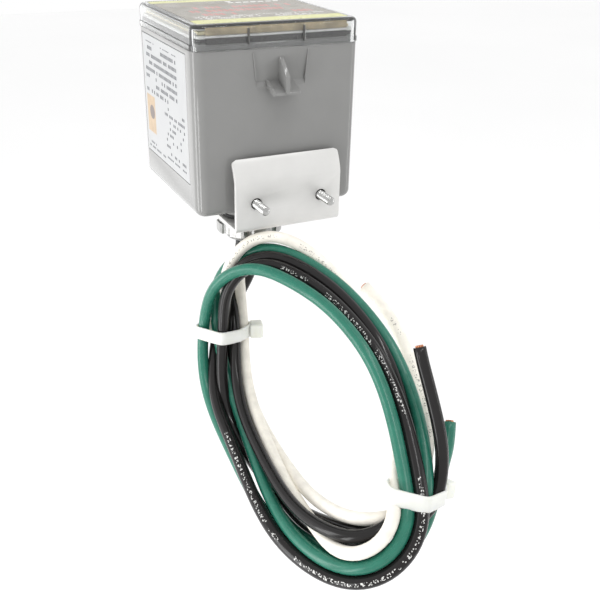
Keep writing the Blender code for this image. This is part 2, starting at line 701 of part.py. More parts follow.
def cable_tie(name, at, head_angle, material):
    """A band round the bundle, square to it, with the tie's head on its outside."""
    turn = Matrix(coil_frame(at)).transposed().to_4x4()
    turn.translation = coil_point(at)
    inner = coil_radius(at) + 2 * GAP
    band = link(ring(name, (0, 0), inner + TIE_THICKNESS, inner, -TIE_WIDTH / 2, TIE_WIDTH / 2),
                material)
    band.matrix_world = turn
    low = (inner + 0.2 * MM, -TIE_HEAD[0] / 2, -TIE_HEAD[2] / 2)
    high = (inner + TIE_HEAD[1], TIE_HEAD[0] / 2, TIE_HEAD[2] / 2)
    head = as_cutter(block(name + "_head", low, high, 0.8 * MM, segments=2))
    head.matrix_world = turn @ Matrix.Rotation(math.radians(head_angle), 4, "Z")
    cut(band, head, "UNION")
    return band


def leads(materials):
    """Each lead: the length held in the nipple, the drop to the coil, and the free end past it."""
    for name, (dx, dy) in lead_places().items():
        x, y = NIPPLE_X + dx, NIPPLE_Y + dy
        tx, ty = terminal_place(name)
        held = [(x, y, NIPPLE_END_Z - 0.1 * MM), (x, y, -8 * MM), (x, y, 2 * MM),
                ((x + tx) / 2, (y + ty) / 2, 12 * MM), (tx, ty, 22 * MM), (tx, ty, LEAD_TOP_Z)]
        held = [[value / MM for value in point] for point in held]
        link(tube("lead_" + name, smooth_route(held, 3), WIRE / 2), materials[name])
        link(tube("drop_" + name, smooth_route(DROPS[name], 3), WIRE / 2), materials[name])
        tail = smooth_route(TAILS[name], 3)
        link(tube("tail_" + name, tail, WIRE / 2), materials[name])
        tip = (tail[-1] - tail[-2]).normalized()
        core = [tail[-1] + tip * GAP, tail[-1] + tip * (GAP + 0.8 * MM)]
        link(tube("copper_" + name, core, COPPER / 2), materials["copper"])


def build():
    global PARTS, CUTTERS
    clear_scene()
    PARTS = make_collection("whole_house_surge_protector")
    CUTTERS = make_collection("cutters")
    materials = {
        "grey_plastic": make_material("grey_plastic", (0.36, 0.36, 0.35), 0.35),
        "clear_plastic": make_material("clear_plastic", (0.8, 0.8, 0.8), 0.05, alpha=0.3),
        "white_plastic": make_material("white_plastic", (0.8, 0.8, 0.78), 0.4),
        "rubber": make_material("rubber", (0.05, 0.05, 0.05), 0.8),
        "card": make_material("card", (0.68, 0.62, 0.42), 0.7),
        "label": make_material("label", (0.85, 0.85, 0.6), 0.4),
        "label_paper": make_material("label_paper", (0.85, 0.86, 0.86), 0.5),
        "bracket_steel": make_material("bracket_steel", (0.72, 0.71, 0.69), 0.4, 0.6),
        "zinc": make_material("zinc", (0.75, 0.74, 0.7), 0.25, 1.0),
        "board": make_material("board", (0.03, 0.2, 0.08), 0.5),
        "varistor_epoxy": make_material("varistor_epoxy", (0.1, 0.2, 0.5), 0.4),
        "fuse_ceramic": make_material("fuse_ceramic", (0.8, 0.78, 0.72), 0.6),
        "capacitor_case": make_material("capacitor_case", (0.6, 0.5, 0.1), 0.5),
        "brass": make_material("brass", (0.7, 0.5, 0.2), 0.3, 1.0),
        "green_led": make_material("green_led", (0.1, 0.7, 0.2), 0.2),
        "copper": make_material("copper", (0.6, 0.28, 0.15), 0.35, 1.0),
        "nylon": make_material("nylon", (0.85, 0.86, 0.82), 0.4),
        "coil": make_material("coil", (0.2, 0.2, 0.2), 0.5),
    }
    for name, colour in LEAD_COLOURS.items():
        materials[name] = make_material("insulation_" + name, colour, 0.35)

    base_housing(materials["grey_plastic"])
    conduit_nipple(materials["grey_plastic"])
    clear_cover(materials["clear_plastic"])
    cover_frame_rings(materials)
    label_card(materials["card"])
    top_label(materials["label"])
    rating_label(materials["label_paper"])
    mounting_bracket(materials["bracket_steel"])
    mounting_stud("stud_left", -1, materials["zinc"])
    mounting_stud("stud_right", 1, materials["zinc"])
    sealing_gasket(materials["rubber"])
    bonding_washer(materials["zinc"])
    locknut(materials["zinc"])
    circuit_board(materials["board"])
    for index, place in enumerate(post_places()):
        board_screw("board_screw_%d" % (index + 1), place, materials["zinc"])
    for index in range(3):
        y = BOX_FRONT_Y + (14 + 16 * index) * MM
        varistor("varistor_%d" % (index + 1), y, materials["varistor_epoxy"])
        thermal_fuse("thermal_fuse_%d" % (index + 1), y, materials["fuse_ceramic"])
    film_capacitor(materials["capacitor_case"])
    for name in lead_places():
        terminal(name, materials["brass"])
    for index, place in enumerate(light_pipe_places()):
        indicator(index + 1, place, materials)
    leads(materials)
    lead_coil(materials["coil"])
    cable_tie("cable_tie_left", LEFT_TIE_AT, 150, materials["nylon"])
    cable_tie("cable_tie_right", RIGHT_TIE_AT, 290, materials["nylon"])


build()
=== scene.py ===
"""Looks of the whole house surge protector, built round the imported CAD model."""
import math

import bmesh
import bpy
import numpy as np
from mathutils import Matrix, Vector


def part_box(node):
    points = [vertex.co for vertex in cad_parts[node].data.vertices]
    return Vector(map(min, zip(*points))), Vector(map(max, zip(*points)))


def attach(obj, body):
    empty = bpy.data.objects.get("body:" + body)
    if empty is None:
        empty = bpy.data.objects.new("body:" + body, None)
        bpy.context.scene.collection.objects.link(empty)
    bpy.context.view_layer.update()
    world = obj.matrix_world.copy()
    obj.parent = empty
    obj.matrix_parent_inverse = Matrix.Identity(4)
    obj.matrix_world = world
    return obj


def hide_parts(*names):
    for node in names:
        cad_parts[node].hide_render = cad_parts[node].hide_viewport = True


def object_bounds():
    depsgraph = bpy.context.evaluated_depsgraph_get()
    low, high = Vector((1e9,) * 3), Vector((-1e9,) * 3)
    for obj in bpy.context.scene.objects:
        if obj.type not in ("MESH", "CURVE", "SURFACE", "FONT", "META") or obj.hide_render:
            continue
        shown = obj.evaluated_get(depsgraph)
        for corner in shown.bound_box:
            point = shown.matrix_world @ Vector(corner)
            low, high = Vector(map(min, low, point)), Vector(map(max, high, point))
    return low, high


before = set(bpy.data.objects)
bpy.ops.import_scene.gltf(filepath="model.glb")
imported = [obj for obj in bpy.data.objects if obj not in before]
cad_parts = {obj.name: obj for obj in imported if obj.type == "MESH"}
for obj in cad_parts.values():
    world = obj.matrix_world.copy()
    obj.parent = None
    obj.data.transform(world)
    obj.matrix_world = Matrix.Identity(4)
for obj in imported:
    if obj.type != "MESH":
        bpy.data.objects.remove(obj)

CAD_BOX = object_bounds()
MM = 0.001
ROOT = "root"


# Camera ------------------------------------------------------------------------------------------
CAMERA_PLACE = (-141.2 * MM, -292.9 * MM, 118.7 * MM)
CAMERA_YAW = -26.67
CAMERA_PITCH = -26.86
CAMERA_ROLL = 1.26
CAMERA_LENS = 50.556


def make_camera():
    data = bpy.data.cameras.new("camera")
    data.lens = CAMERA_LENS
    data.sensor_width = 36.0
    data.clip_start = 0.01
    camera = bpy.data.objects.new("camera", data)
    bpy.context.scene.collection.objects.link(camera)
    turn = (Matrix.Rotation(math.radians(CAMERA_YAW), 4, "Z")
            @ Matrix.Rotation(math.radians(90 + CAMERA_PITCH), 4, "X")
            @ Matrix.Rotation(math.radians(CAMERA_ROLL), 4, "Z"))
    camera.matrix_world = Matrix.Translation(CAMERA_PLACE) @ turn
    bpy.context.scene.camera = camera


make_camera()


# Node helpers ------------------------------------------------------------------------------------
class Shader:
    """A material's node tree, with short calls for the nodes that the materials below share."""

    def __init__(self, name):
        self.material = bpy.data.materials.new(name)
        self.material.use_nodes = True
        self.tree = self.material.node_tree
        self.surface = self.tree.nodes["Principled BSDF"]
        self.coords = self.tree.nodes.new("ShaderNodeTexCoord")

    def node(self, kind, **settings):
        made = self.tree.nodes.new(kind)
        for key, value in settings.items():
            setattr(made, key, value)
        return made

    def put(self, socket, value):
        if isinstance(value, bpy.types.NodeSocket):
            self.tree.links.new(value, socket)
        else:
            socket.default_value = value

    def math(self, operation, first, second=0.0):
        made = self.node("ShaderNodeMath", operation=operation)
        self.put(made.inputs[0], first)
        self.put(made.inputs[1], second)
        return made.outputs[0]

    def axes(self, vector):
        made = self.node("ShaderNodeSeparateXYZ")
        self.put(made.inputs[0], vector)
        return made.outputs

    def stretched(self, vector, scale):
        made = self.node("ShaderNodeMapping")
        self.put(made.inputs["Vector"], vector)
        made.inputs["Scale"].default_value = scale
        return made.outputs[0]

    def noise(self, scale, detail=3.0, vector=None):
        made = self.node("ShaderNodeTexNoise")
        self.put(made.inputs["Vector"], vector or self.coords.outputs["Object"])
        made.inputs["Scale"].default_value = scale
        made.inputs["Detail"].default_value = detail
        return made.outputs["Fac"]

    def cells(self, first, second):
        """A random value for each whole-numbered cell of two coordinates."""
        joined = self.node("ShaderNodeCombineXYZ")
        self.put(joined.inputs[0], self.math("FLOOR", first))
        self.put(joined.inputs[1], self.math("FLOOR", second))
        made = self.node("ShaderNodeTexWhiteNoise", noise_dimensions="2D")
        self.put(made.inputs["Vector"], joined.outputs[0])
        return made.outputs["Value"]

    def spread(self, value, low, high, to_low=0.0, to_high=1.0):
        made = self.node("ShaderNodeMapRange")
        self.put(made.inputs["Value"], value)
        made.inputs["From Min"].default_value = low
        made.inputs["From Max"].default_value = high
        made.inputs["To Min"].default_value = to_low
        made.inputs["To Max"].default_value = to_high
        return made.outputs["Result"]

    def between(self, value, low, high):
        """1 where a value lies between two levels, and 0 elsewhere."""
        return self.math("MULTIPLY", self.math("GREATER_THAN", value, low),
                         self.math("LESS_THAN", value, high))

    def mix(self, share, first, second):
        made = self.node("ShaderNodeMix", data_type="RGBA")
        self.put(made.inputs[0], share)
        for socket, value in ((made.inputs[6], first), (made.inputs[7], second)):
            self.put(socket, value if isinstance(value, bpy.types.NodeSocket) else (*value, 1.0))
        return made.outputs[2]

    def bump(self, height, strength, distance):
        made = self.node("ShaderNodeBump")
        made.inputs["Strength"].default_value = strength
        made.inputs["Distance"].default_value = distance
        self.put(made.inputs["Height"], height)
        self.put(self.surface.inputs["Normal"], made.outputs[0])

    def finish(self, colour, roughness, metallic=0.0, **settings):
        self.put(self.surface.inputs["Base Color"],
                 colour if isinstance(colour, bpy.types.NodeSocket) else (*colour, 1.0))
        self.put(self.surface.inputs["Roughness"], roughness)
        self.surface.inputs["Metallic"].default_value = metallic
        for key, value in settings.items():
            self.surface.inputs[key.replace("_", " ")].default_value = value
        return self.material


# Materials ---------------------------------------------------------------------------------------
def varied(shader, colour, amount, scale):
    """A colour that drifts a little lighter and darker over the surface."""
    dark = tuple(channel * (1 - amount) for channel in colour)
    light = tuple(min(channel * (1 + amount), 1.0) for channel in colour)
    return shader.mix(shader.spread(shader.noise(scale, 2.0), 0.3, 0.7), dark, light)


def moulded_plastic(name, colour, roughness):
    """Moulded plastic: faint flow variation, uneven gloss and a fine mould grain."""
    shader = Shader(name)
    tint = varied(shader, colour, 0.03, 60.0)
    gloss = shader.spread(shader.noise(160.0, 2.0), 0.3, 0.7, roughness - 0.02, roughness + 0.02)
    shader.bump(shader.noise(3500.0, 2.0), 0.02, 0.00008)
    return shader.finish(tint, gloss)


def clear_plastic(name):
    shader = Shader(name)
    gloss = shader.spread(shader.noise(180.0, 3.0), 0.3, 0.7, 0.02, 0.07)
    shader.bump(shader.noise(90.0, 2.0), 0.03, 0.0004)
    tint = varied(shader, (0.93, 0.94, 0.94), 0.02, 50.0)
    return shader.finish(tint, gloss, Transmission_Weight=0.975, IOR=1.45)


def rolled_steel(name, colour):
    """Plated sheet: soft rolling lines along the sheet, pale cloudy patches and fine scratches."""
    shader = Shader(name)
    place = shader.coords.outputs["Object"]
    lines = shader.noise(900.0, 3.0, shader.stretched(place, (0.06, 1.0, 1.0)))
    clouds = shader.noise(70.0, 4.0)
    tint = shader.mix(shader.spread(clouds, 0.35, 0.65), tuple(c * 0.94 for c in colour), colour)
    gloss = shader.spread(lines, 0.3, 0.7, 0.42, 0.56)
    shader.bump(lines, 0.05, 0.00005)
    return shader.finish(tint, gloss, 0.35)


def zinc(name, colour=(0.78, 0.78, 0.76), roughness=0.22):
    shader = Shader(name)
    patches = shader.noise(500.0, 5.0)
    tint = shader.mix(shader.spread(patches, 0.35, 0.65), tuple(c * 0.8 for c in colour), colour)
    gloss = shader.spread(patches, 0.3, 0.7, roughness - 0.06, roughness + 0.12)
    shader.bump(shader.noise(1600.0, 3.0), 0.06, 0.00006)
    return shader.finish(tint, gloss, 1.0)


def rubber(name):
    shader = Shader(name)
    shader.bump(shader.noise(2500.0, 3.0), 0.15, 0.0001)
    return shader.finish(varied(shader, (0.03, 0.03, 0.03), 0.15, 120.0), 0.75)


def insulation(name, colour, ink, roughness, shine, printed=()):
    """A lead's jacket: slightly wavy, glossy vinyl with a line of illegible print along one side.

    The mesh's UV map holds the way along the lead and round it, in millimetres.
    """
    shader = Shader(name)
    along, round_, _ = shader.axes(shader.coords.outputs["UV"])
    grain = shader.noise(1.0, 3.0, shader.stretched(shader.coords.outputs["UV"], (0.35, 1.6, 1.0)))
    tint = varied(shader, colour, 0.07, 260.0)
    if ink:
        marks = shader.math("LESS_THAN", shader.math("FRACT", shader.math("DIVIDE", along, 2.3)), 0.72)
        strokes = shader.math("GREATER_THAN", shader.cells(shader.math("MULTIPLY", along, 2.1),
                                                           shader.math("MULTIPLY", round_, 2.5)), 0.66)
        words = shader.math("GREATER_THAN",
                            shader.cells(shader.math("DIVIDE", along, 9.2), 0.0), 0.2)
        runs = shader.math("ADD", *[shader.between(along, *stretch) for stretch in printed])
        band = shader.between(round_, -0.7, 0.7)
        worn = shader.math("GREATER_THAN", shader.noise(1600.0, 2.0), 0.4)
        print_mask = band
        for part in (marks, strokes, words, runs, worn):
            print_mask = shader.math("MULTIPLY", print_mask, part)
        tint = shader.mix(print_mask, tint, ink)
    gloss = shader.spread(grain, 0.3, 0.7, roughness - 0.05, roughness + 0.08)
    shader.bump(grain, 0.05, 0.00008)
    return shader.finish(tint, gloss, Specular_IOR_Level=shine)


def stranded_copper(name):
    shader = Shader(name)
    tint = shader.mix(shader.spread(shader.noise(900.0, 4.0), 0.3, 0.7),
                      (0.38, 0.14, 0.07), (0.66, 0.31, 0.18))
    shader.bump(shader.noise(2600.0, 2.0), 0.2, 0.0001)
    return shader.finish(tint, 0.32, 1.0)


def nylon(name, colour):
    """Natural nylon: milky, slightly see-through."""
    shader = Shader(name)
    shader.bump(shader.noise(1800.0, 2.0), 0.05, 0.00008)
    return shader.finish(varied(shader, colour, 0.03, 200.0), 0.32, Subsurface_Weight=0.35,
                         Subsurface_Radius=(0.004, 0.004, 0.003), Subsurface_Scale=1.0)


def plain(name, colour, roughness=0.5, metallic=0.0, amount=0.08):
    """The finish of a piece that is sealed inside the box."""
    shader = Shader(name)
    shader.bump(shader.noise(1500.0, 3.0), 0.1, 0.0001)
    return shader.finish(varied(shader, colour, amount, 300.0), roughness, metallic)


def finish_node(node, material):
    """Give a CAD node a finished material."""
    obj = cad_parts[node]
    obj.data.materials.clear()
    obj.data.materials.append(material)
    return obj


# Leads -------------------------------------------------------------------------------------------
WIRE = 4.8 * MM
COPPER = 3.1 * MM

# Middle line of the coil, and where the ties sit on it, as in the CAD (millimetres)
COIL_LINE = [
    (-13, -3, -20), (-27, 7, -34), (-27, 10, -60), (-31, -6, -79), (-33, -31, -89),
    (-35, -77, -93), (-27, -109, -87), (-11, -115, -79), (0, -107, -72), (6, -93, -62),
    (9, -77, -51), (8, -58, -38), (2, -28, -26),
]
LEFT_TIE_AT = 2.0
RIGHT_TIE_AT = 8.0
TURN = len(COIL_LINE)
POINTS_PER_TURN = 39
ACROSS = np.array((0.42, 0.79, -0.44)) / np.linalg.norm((0.42, 0.79, -0.44))

# Where each lead lies in the bundle as it goes round: the place along the coil, counted in points of
# its middle line and carried on from turn to turn, then how far out and how far across (millimetres)
LAYS = {
    "white": [(2, -8.3, 1.4), (4, -7.5, -0.5), (5, -3.5, 5.5), (6, 0.2, -1.5), (8, -8.2, 1.0),
              (9, -4.5, 7.5), (10, -2.5, 11.0), (11, 0.5, 11.0), (12.2, 5.0, 7.0), (13, 6.9, 0.9),
              (14, 0.8, 3.8), (15, -3.0, 9.0), (16, -6.4, 6.5), (17, -6.8, 4.2), (19, -10.6, 2.0),
              (21, 1.2, 5.2)],
    "black_a": [(2, 1.6, 2.6), (3, 3.8, -1.6), (4, 4.2, -3.2), (6, 9.9, 0.0), (8, -0.7, -3.8),
                (11, -1.3, -1.8), (13, -3.4, -1.0), (15, -1.3, -4.9), (17, 3.0, 4.2), (19, -6.4, 5.2),
                (21, 6.6, 2.2)],
    "black_b": [(2, -5.2, -2.3), (4, -3.6, -2.9), (6, -5.0, 0.5), (8, -3.6, 2.1), (11, 1.7, 1.9),
                (13, -0.2, 2.6), (15, -2.9, 2.2), (17, -2.0, 4.0), (19, -1.9, 5.4),
                (21, -6.6, 5.6)],
    "green": [(2, -0.6, 6.6), (4, 0.6, 8.2), (6, 2.6, 4.0), (8, 2.6, 0.3), (11, 4.9, 5.5),
              (13, 3.3, 5.9), (14, 0.8, 5.0), (15, 1.9, 1.3), (17, 0.4, -0.6), (19, 5.0, -0.5),
              (21, -5.1, -2.4),
              (24, -4.4, -5.5), (26, -6.6, -4.5), (28, 6.6, 0.5), (30, 7.3, 0.4), (32, 7.6, 4.3),
              (34, 5.8, 6.8)],
}
# Free ends and drops, as in the CAD (millimetres)
TAILS = {
    "white": [(17, -87, -61.5), (21, -77, -59), (25, -62, -53), (27, -51, -47), (27, -36, -39),
              (23, -25, -33)],
    "black_a": [(11, -104, -63), (13, -99, -58), (15, -89, -48), (16, -81, -40), (16, -76.6, -32.8)],
    "black_b": [(5, -97, -77), (11, -84, -68), (14, -74, -60)],
    "green": [(15, -99, -70), (18, -97, -67), (21, -93, -63), (23, -90, -59)],
}
DROPS = {
    "white": [(-12.2, 17, -21.1), (-12.4, 17.1, -28), (-14.5, 17.5, -36), (-17, 16.2, -42.5)],
    "black_a": [(-7, 17, -21.1), (-7.2, 17.3, -29), (-9.3, 18.2, -37), (-12, 18.3, -44)],
    "black_b": [(-12.2, 22.2, -21.1), (-12.6, 22.4, -28), (-15.5, 23, -36), (-19, 21.5, -44)],
    "green": [(-7, 22.2, -21.1), (-7.2, 22.5, -30), (-9.3, 23.6, -40), (-13, 23.4, -47)],
}


def curve_point(points, at, closed):
    """A point of the smooth curve through a list of points, with 'at' counted in points."""
    count = len(points)
    base = int(math.floor(at))
    if not closed:
        base = min(base, count - 2)
    part = at - base
    near = []
    for k in (-1, 0, 1, 2):
        index = (base + k) % count if closed else min(max(base + k, 0), count - 1)
        near.append(np.array(points[index], dtype=float))
    a, b, c, d = near
    return 0.5 * (2 * b + (c - a) * part + (2 * a - 5 * b + 4 * c - d) * part ** 2
                  + (3 * b - a - 3 * c + d) * part ** 3)


def coil_frame(at):
    """At a place on the middle line: the place, away from the coil's middle, across it, along it."""
    along = curve_point(COIL_LINE, at + 0.05, True) - curve_point(COIL_LINE, at - 0.05, True)
    along /= np.linalg.norm(along)
    across = ACROSS - along * (ACROSS @ along)
    across /= np.linalg.norm(across)
    return curve_point(COIL_LINE, at, True), np.cross(across, along), across, along


def lay_at(keys, at):
    """How far out and across a lead lies at a place, eased between its stated places."""
    places = [key[0] for key in keys]
    values = [np.array(key[1:], dtype=float) for key in keys]
    last = len(places) - 1
    i = max(j for j in range(last) if places[j] <= at)

    def slope(j):
        before, after = max(j - 1, 0), min(j + 1, last)
        return (values[after] - values[before]) / (places[after] - places[before])

    span = places[i + 1] - places[i]
    t = (at - places[i]) / span
    return ((2 * t ** 3 - 3 * t ** 2 + 1) * values[i] + (t ** 3 - 2 * t ** 2 + t) * span * slope(i)
            + (3 * t ** 2 - 2 * t ** 3) * values[i + 1] + (t ** 3 - t ** 2) * span * slope(i + 1))


def coiled_points(keys):
    """A lead's turns, worked out place by place round the coil."""
    stops = int(round((keys[-1][0] - keys[0][0]) * POINTS_PER_TURN / TURN))
    points = []
    for i in range(stops + 1):
        at = keys[0][0] + (keys[-1][0] - keys[0][0]) * i / stops
        middle, out, across, _ = coil_frame(at)
        far, deep = lay_at(keys, at)
        points.append(middle + far * out + deep * across)
    return points


def evenly(points, spacing):
    """The smooth curve through some points, as points an even distance apart, in metres."""
    fine = np.array([curve_point(points, i / 6, False) for i in range(6 * (len(points) - 1) + 1)])
    steps = np.linalg.norm(np.diff(fine, axis=0), axis=1)
    travelled = np.concatenate([[0], np.cumsum(steps)])
    count = int(round(travelled[-1] / spacing))
    stops = np.linspace(0, travelled[-1], count + 1)
    return np.stack([np.interp(stops, travelled, fine[:, k]) for k in range(3)], axis=1) * MM


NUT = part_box("locknut")
NUT_MIDDLE = np.array([(NUT[0][k] + NUT[1][k]) / 2 for k in range(2)])
NUT_RADIUS = (NUT[1][0] - NUT[0][0]) / 2
NUT_LOWEST = NUT[0][2] - 2.0 * MM             # just below the nut after its full turn
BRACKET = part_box("mounting_bracket")
HELD_POINTS = 4                               # points of each lead that stay straight at the exit
SETTLING_ROUNDS = 40


def keep_clear(points):
    """Hold the leads off the nut, and below the bracket."""
    reach = WIRE / 2 + 0.3 * MM
    for p in points[HELD_POINTS:]:
        if p[1] > -reach and p[2] > BRACKET[0][2] - reach:
            p[2] = BRACKET[0][2] - reach
        away = p[:2] - NUT_MIDDLE
        distance = np.linalg.norm(away)
        if p[2] > NUT_LOWEST - reach and distance < NUT_RADIUS + reach:
            p[:2] = NUT_MIDDLE + away / distance * (NUT_RADIUS + reach)


def eased(moves, owner, width=5):
    """Moves along each lead, averaged with their neighbours' so that the lead stays smooth."""
    result = moves.copy()
    weights = np.exp(-0.5 * (np.arange(-2 * width, 2 * width + 1) / width) ** 2)
    weights /= weights.sum()
    for i in range(owner.max() + 1):
        part = np.pad(moves[owner == i], ((2 * width, 2 * width), (0, 0)), mode="edge")
        result[owner == i] = np.stack([np.convolve(part[:, k], weights, "valid")
                                       for k in range(3)], axis=1)
    return result


def settle(leads):
    """Part leads that lie in each other, mostly across the coil, and keep each one smooth."""
    names = list(leads)
    owner = np.concatenate([[i] * len(leads[name]) for i, name in enumerate(names)])
    order = np.concatenate([np.arange(len(leads[name])) for name in names])
    home = np.concatenate([leads[name] for name in names])
    same = (owner[:, None] == owner[None]) & (np.abs(order[:, None] - order[None]) < 9)
    held = np.clip((order - HELD_POINTS) / 6.0, 0.0, 1.0)[:, None]
    last = np.array([order[owner == i].max() for i in owner])
    free = held * np.clip((last - order) / 6.0, 0.0, 1.0)[:, None]
    home = home + free * (eased(home, owner, 3) - home)
    points = home.copy()
    apart = WIRE + 0.1 * MM
    for _ in range(SETTLING_ROUNDS):
        gap = points[:, None] - points[None]
        distance = np.linalg.norm(gap, axis=2)
        close = (distance < apart) & ~same
        first, second = np.nonzero(close)
        way = gap[first, second]
        across = way @ ACROSS
        lean = np.where(np.abs(across) > 0.1 * MM, across, np.where(first < second, -1.0, 1.0) * MM)
        way = way + np.outer(3.0 * lean, ACROSS)
        way /= np.linalg.norm(way, axis=1)[:, None]
        push = np.zeros_like(points)
        share = np.zeros(len(points))
        np.add.at(push, first, way * (0.5 * (apart - distance[first, second]))[:, None])
        np.add.at(share, first, 1.0)
        points += push / np.maximum(share, 1.0)[:, None] * 1.6
        points = home + held * eased(points - home, owner, 3)
        for i in range(len(names)):
            part = points[owner == i]
            keep_clear(part)
            points[owner == i] = part
    points = home + held * eased(points - home, owner, 2)
    return {name: points[owner == i] for i, name in enumerate(names)}


def lead_routes():
    spacing = WIRE / MM / 2
    leads = {}
    for name, keys in LAYS.items():
        leads[name] = evenly(DROPS[name] + coiled_points(keys) + TAILS[name], spacing)
    return settle(leads)


def sweep(name, points, radius, sides, front):
    """A tube along points, with its UV map in millimetres along and round, 0 on its front side."""
    points = np.asarray(points)
    along = np.gradient(points, axis=0)
    along /= np.linalg.norm(along, axis=1)[:, None]
    facing = front - along * (along @ front)[:, None]
    facing /= np.linalg.norm(facing, axis=1)[:, None]
    beside = np.cross(along, facing)
    angles = np.linspace(-math.pi, math.pi, sides, endpoint=False)
    rings = (points[:, None] + radius * (np.cos(angles)[None, :, None] * facing[:, None]
                                         + np.sin(angles)[None, :, None] * beside[:, None]))
    travelled = np.concatenate([[0], np.cumsum(np.linalg.norm(np.diff(points, axis=0), axis=1))])
    solid = bmesh.new()
    uv = solid.loops.layers.uv.new("way")
    verts = [[solid.verts.new(v) for v in ring] for ring in rings]
    step = 2 * math.pi * radius / sides / MM
    for i in range(len(points) - 1):
        for j in range(sides):
            k = (j + 1) % sides
            face = solid.faces.new((verts[i][j], verts[i][k], verts[i + 1][k], verts[i + 1][j]))
            face.smooth = True
            spots = ((i, j), (i, j + 1), (i + 1, j + 1), (i + 1, j))
            for loop, (row, column) in zip(face.loops, spots):
                loop[uv].uv = (travelled[row] / MM, (column - sides / 2) * step)
    solid.faces.new(verts[0][::-1])
    solid.faces.new(verts[-1])
    return as_mesh(name, solid)


def as_mesh(name, solid):
    mesh = bpy.data.meshes.new(name)
    solid.to_mesh(mesh)
    solid.free()
    return mesh


def place(name, mesh, material):
    """Make a piece from a mesh, and let it ride on the box's body."""
    obj = bpy.data.objects.new(name, mesh)
    obj.data.materials.append(material)
    bpy.context.scene.collection.objects.link(obj)
    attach(obj, ROOT)
    return obj


LEADS = lead_routes()
INSULATION = {
    "white": insulation("white_insulation", (0.88, 0.84, 0.76), (0.42, 0.4, 0.37), 0.4, 0.35,
                        ((300, 420), (540, 660))),
    "black_a": insulation("black_insulation", (0.012, 0.011, 0.011), (0.62, 0.62, 0.6), 0.14, 0.3,
                          ((100, 240), (262, 345))),
    "black_b": insulation("black_plain_insulation", (0.012, 0.011, 0.011), None, 0.14, 0.3),
    "green": insulation("green_insulation", (0.02, 0.16, 0.108), None, 0.24, 0.4),
}
COPPER_MATERIAL = stranded_copper("copper_strands")
STRANDS = [(0.0, 0.0)] + [(math.cos(a) * 0.4, math.sin(a) * 0.4)
                          for a in np.radians(np.arange(0, 360, 60))]
STRANDS += [(math.cos(a) * 0.79, math.sin(a) * 0.79) for a in np.radians(np.arange(15, 375, 30))]


def copper_end(name, tip, direction):
    """The cut conductor: nineteen strands that stand a little out of the insulation."""
    turn = Vector(direction).to_track_quat("Z", "Y").to_matrix().to_4x4()
    turn.translation = Vector(tip)
    solid = bmesh.new()
    for u, v in STRANDS:
        radius = COPPER / 2 * 0.2
        spot = Matrix.Translation((u * COPPER / 2, v * COPPER / 2, 0.1 * MM))
        bmesh.ops.create_cone(solid, cap_ends=True, segments=10, radius1=radius,
                              radius2=radius * 0.92, depth=1.1 * MM, matrix=turn @ spot)
    return place(name, as_mesh(name, solid), COPPER_MATERIAL)


def make_leads():
    """Each lead with its copper end and the points that it follows."""
    made = {}
    for name, points in LEADS.items():
        mesh = sweep("wire_" + name, points, WIRE / 2, 18, -ACROSS)
        wire = place("wire_" + name, mesh, INSULATION[name])
        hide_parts("drop_" + name, "tail_" + name, "lead_coil")
        tip = points[-1]
        direction = points[-1] - points[-2]
        end = copper_end("strands_" + name, tip, direction)
        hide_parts("copper_" + name)
        made[name] = (wire, end, points)
    return made


# Cable ties --------------------------------------------------------------------------------------
TIE_WIDTH = 5.6 * MM
TIE_THICKNESS = 1.1 * MM
TIE_HEAD = (5.6 * MM, 7.0 * MM, 6.4 * MM)


def hull(points):
    """The convex outline round some flat points, anticlockwise."""
    points = sorted(tuple(p) for p in points)

    def half(sequence):
        chain = []
        for p in sequence:
            while len(chain) > 1:
                (ax, ay), (bx, by) = chain[-2], chain[-1]
                if (bx - ax) * (p[1] - ay) - (by - ay) * (p[0] - ax) > 0:
                    break
                chain.pop()
            chain.append(p)
        return chain[:-1]

    return half(points) + half(reversed(points))


def crossings(middle, out, across, along, reach):
    """The outlines of the leads where they cross the plane of a tie, out and across from its middle."""
    circle = np.linspace(0, 2 * math.pi, 32, endpoint=False)
    found = []
    for points in LEADS.values():
        level = (points - middle) @ along
        for i in np.nonzero(level[:-1] * level[1:] <= 0)[0]:
            share = level[i] / (level[i] - level[i + 1])
            step = points[i + 1] - points[i]
            spot = points[i] + share * step - middle
            if np.linalg.norm(spot) < reach:
                slant = step / np.linalg.norm(step)
                in_plane = slant - along * (slant @ along)
                stretch = 1 / abs(slant @ along) - 1
                for angle in circle:
                    arm = math.cos(angle) * out + math.sin(angle) * across
                    if np.linalg.norm(in_plane) > 0.05:
                        lean = in_plane / np.linalg.norm(in_plane)
                        arm = arm + stretch * (arm @ lean) * lean
                    found.append((spot @ out, spot @ across, arm @ out, arm @ across))
    return found


def resampled(outline, count):
    """An outline as evenly spaced points."""
    ring = np.array(outline + [outline[0]])
    travelled = np.concatenate([[0], np.cumsum(np.linalg.norm(np.diff(ring, axis=0), axis=1))])
    stops = np.linspace(0, travelled[-1], count, endpoint=False)
    return np.stack([np.interp(stops, travelled, ring[:, k]) for k in range(2)], axis=1)


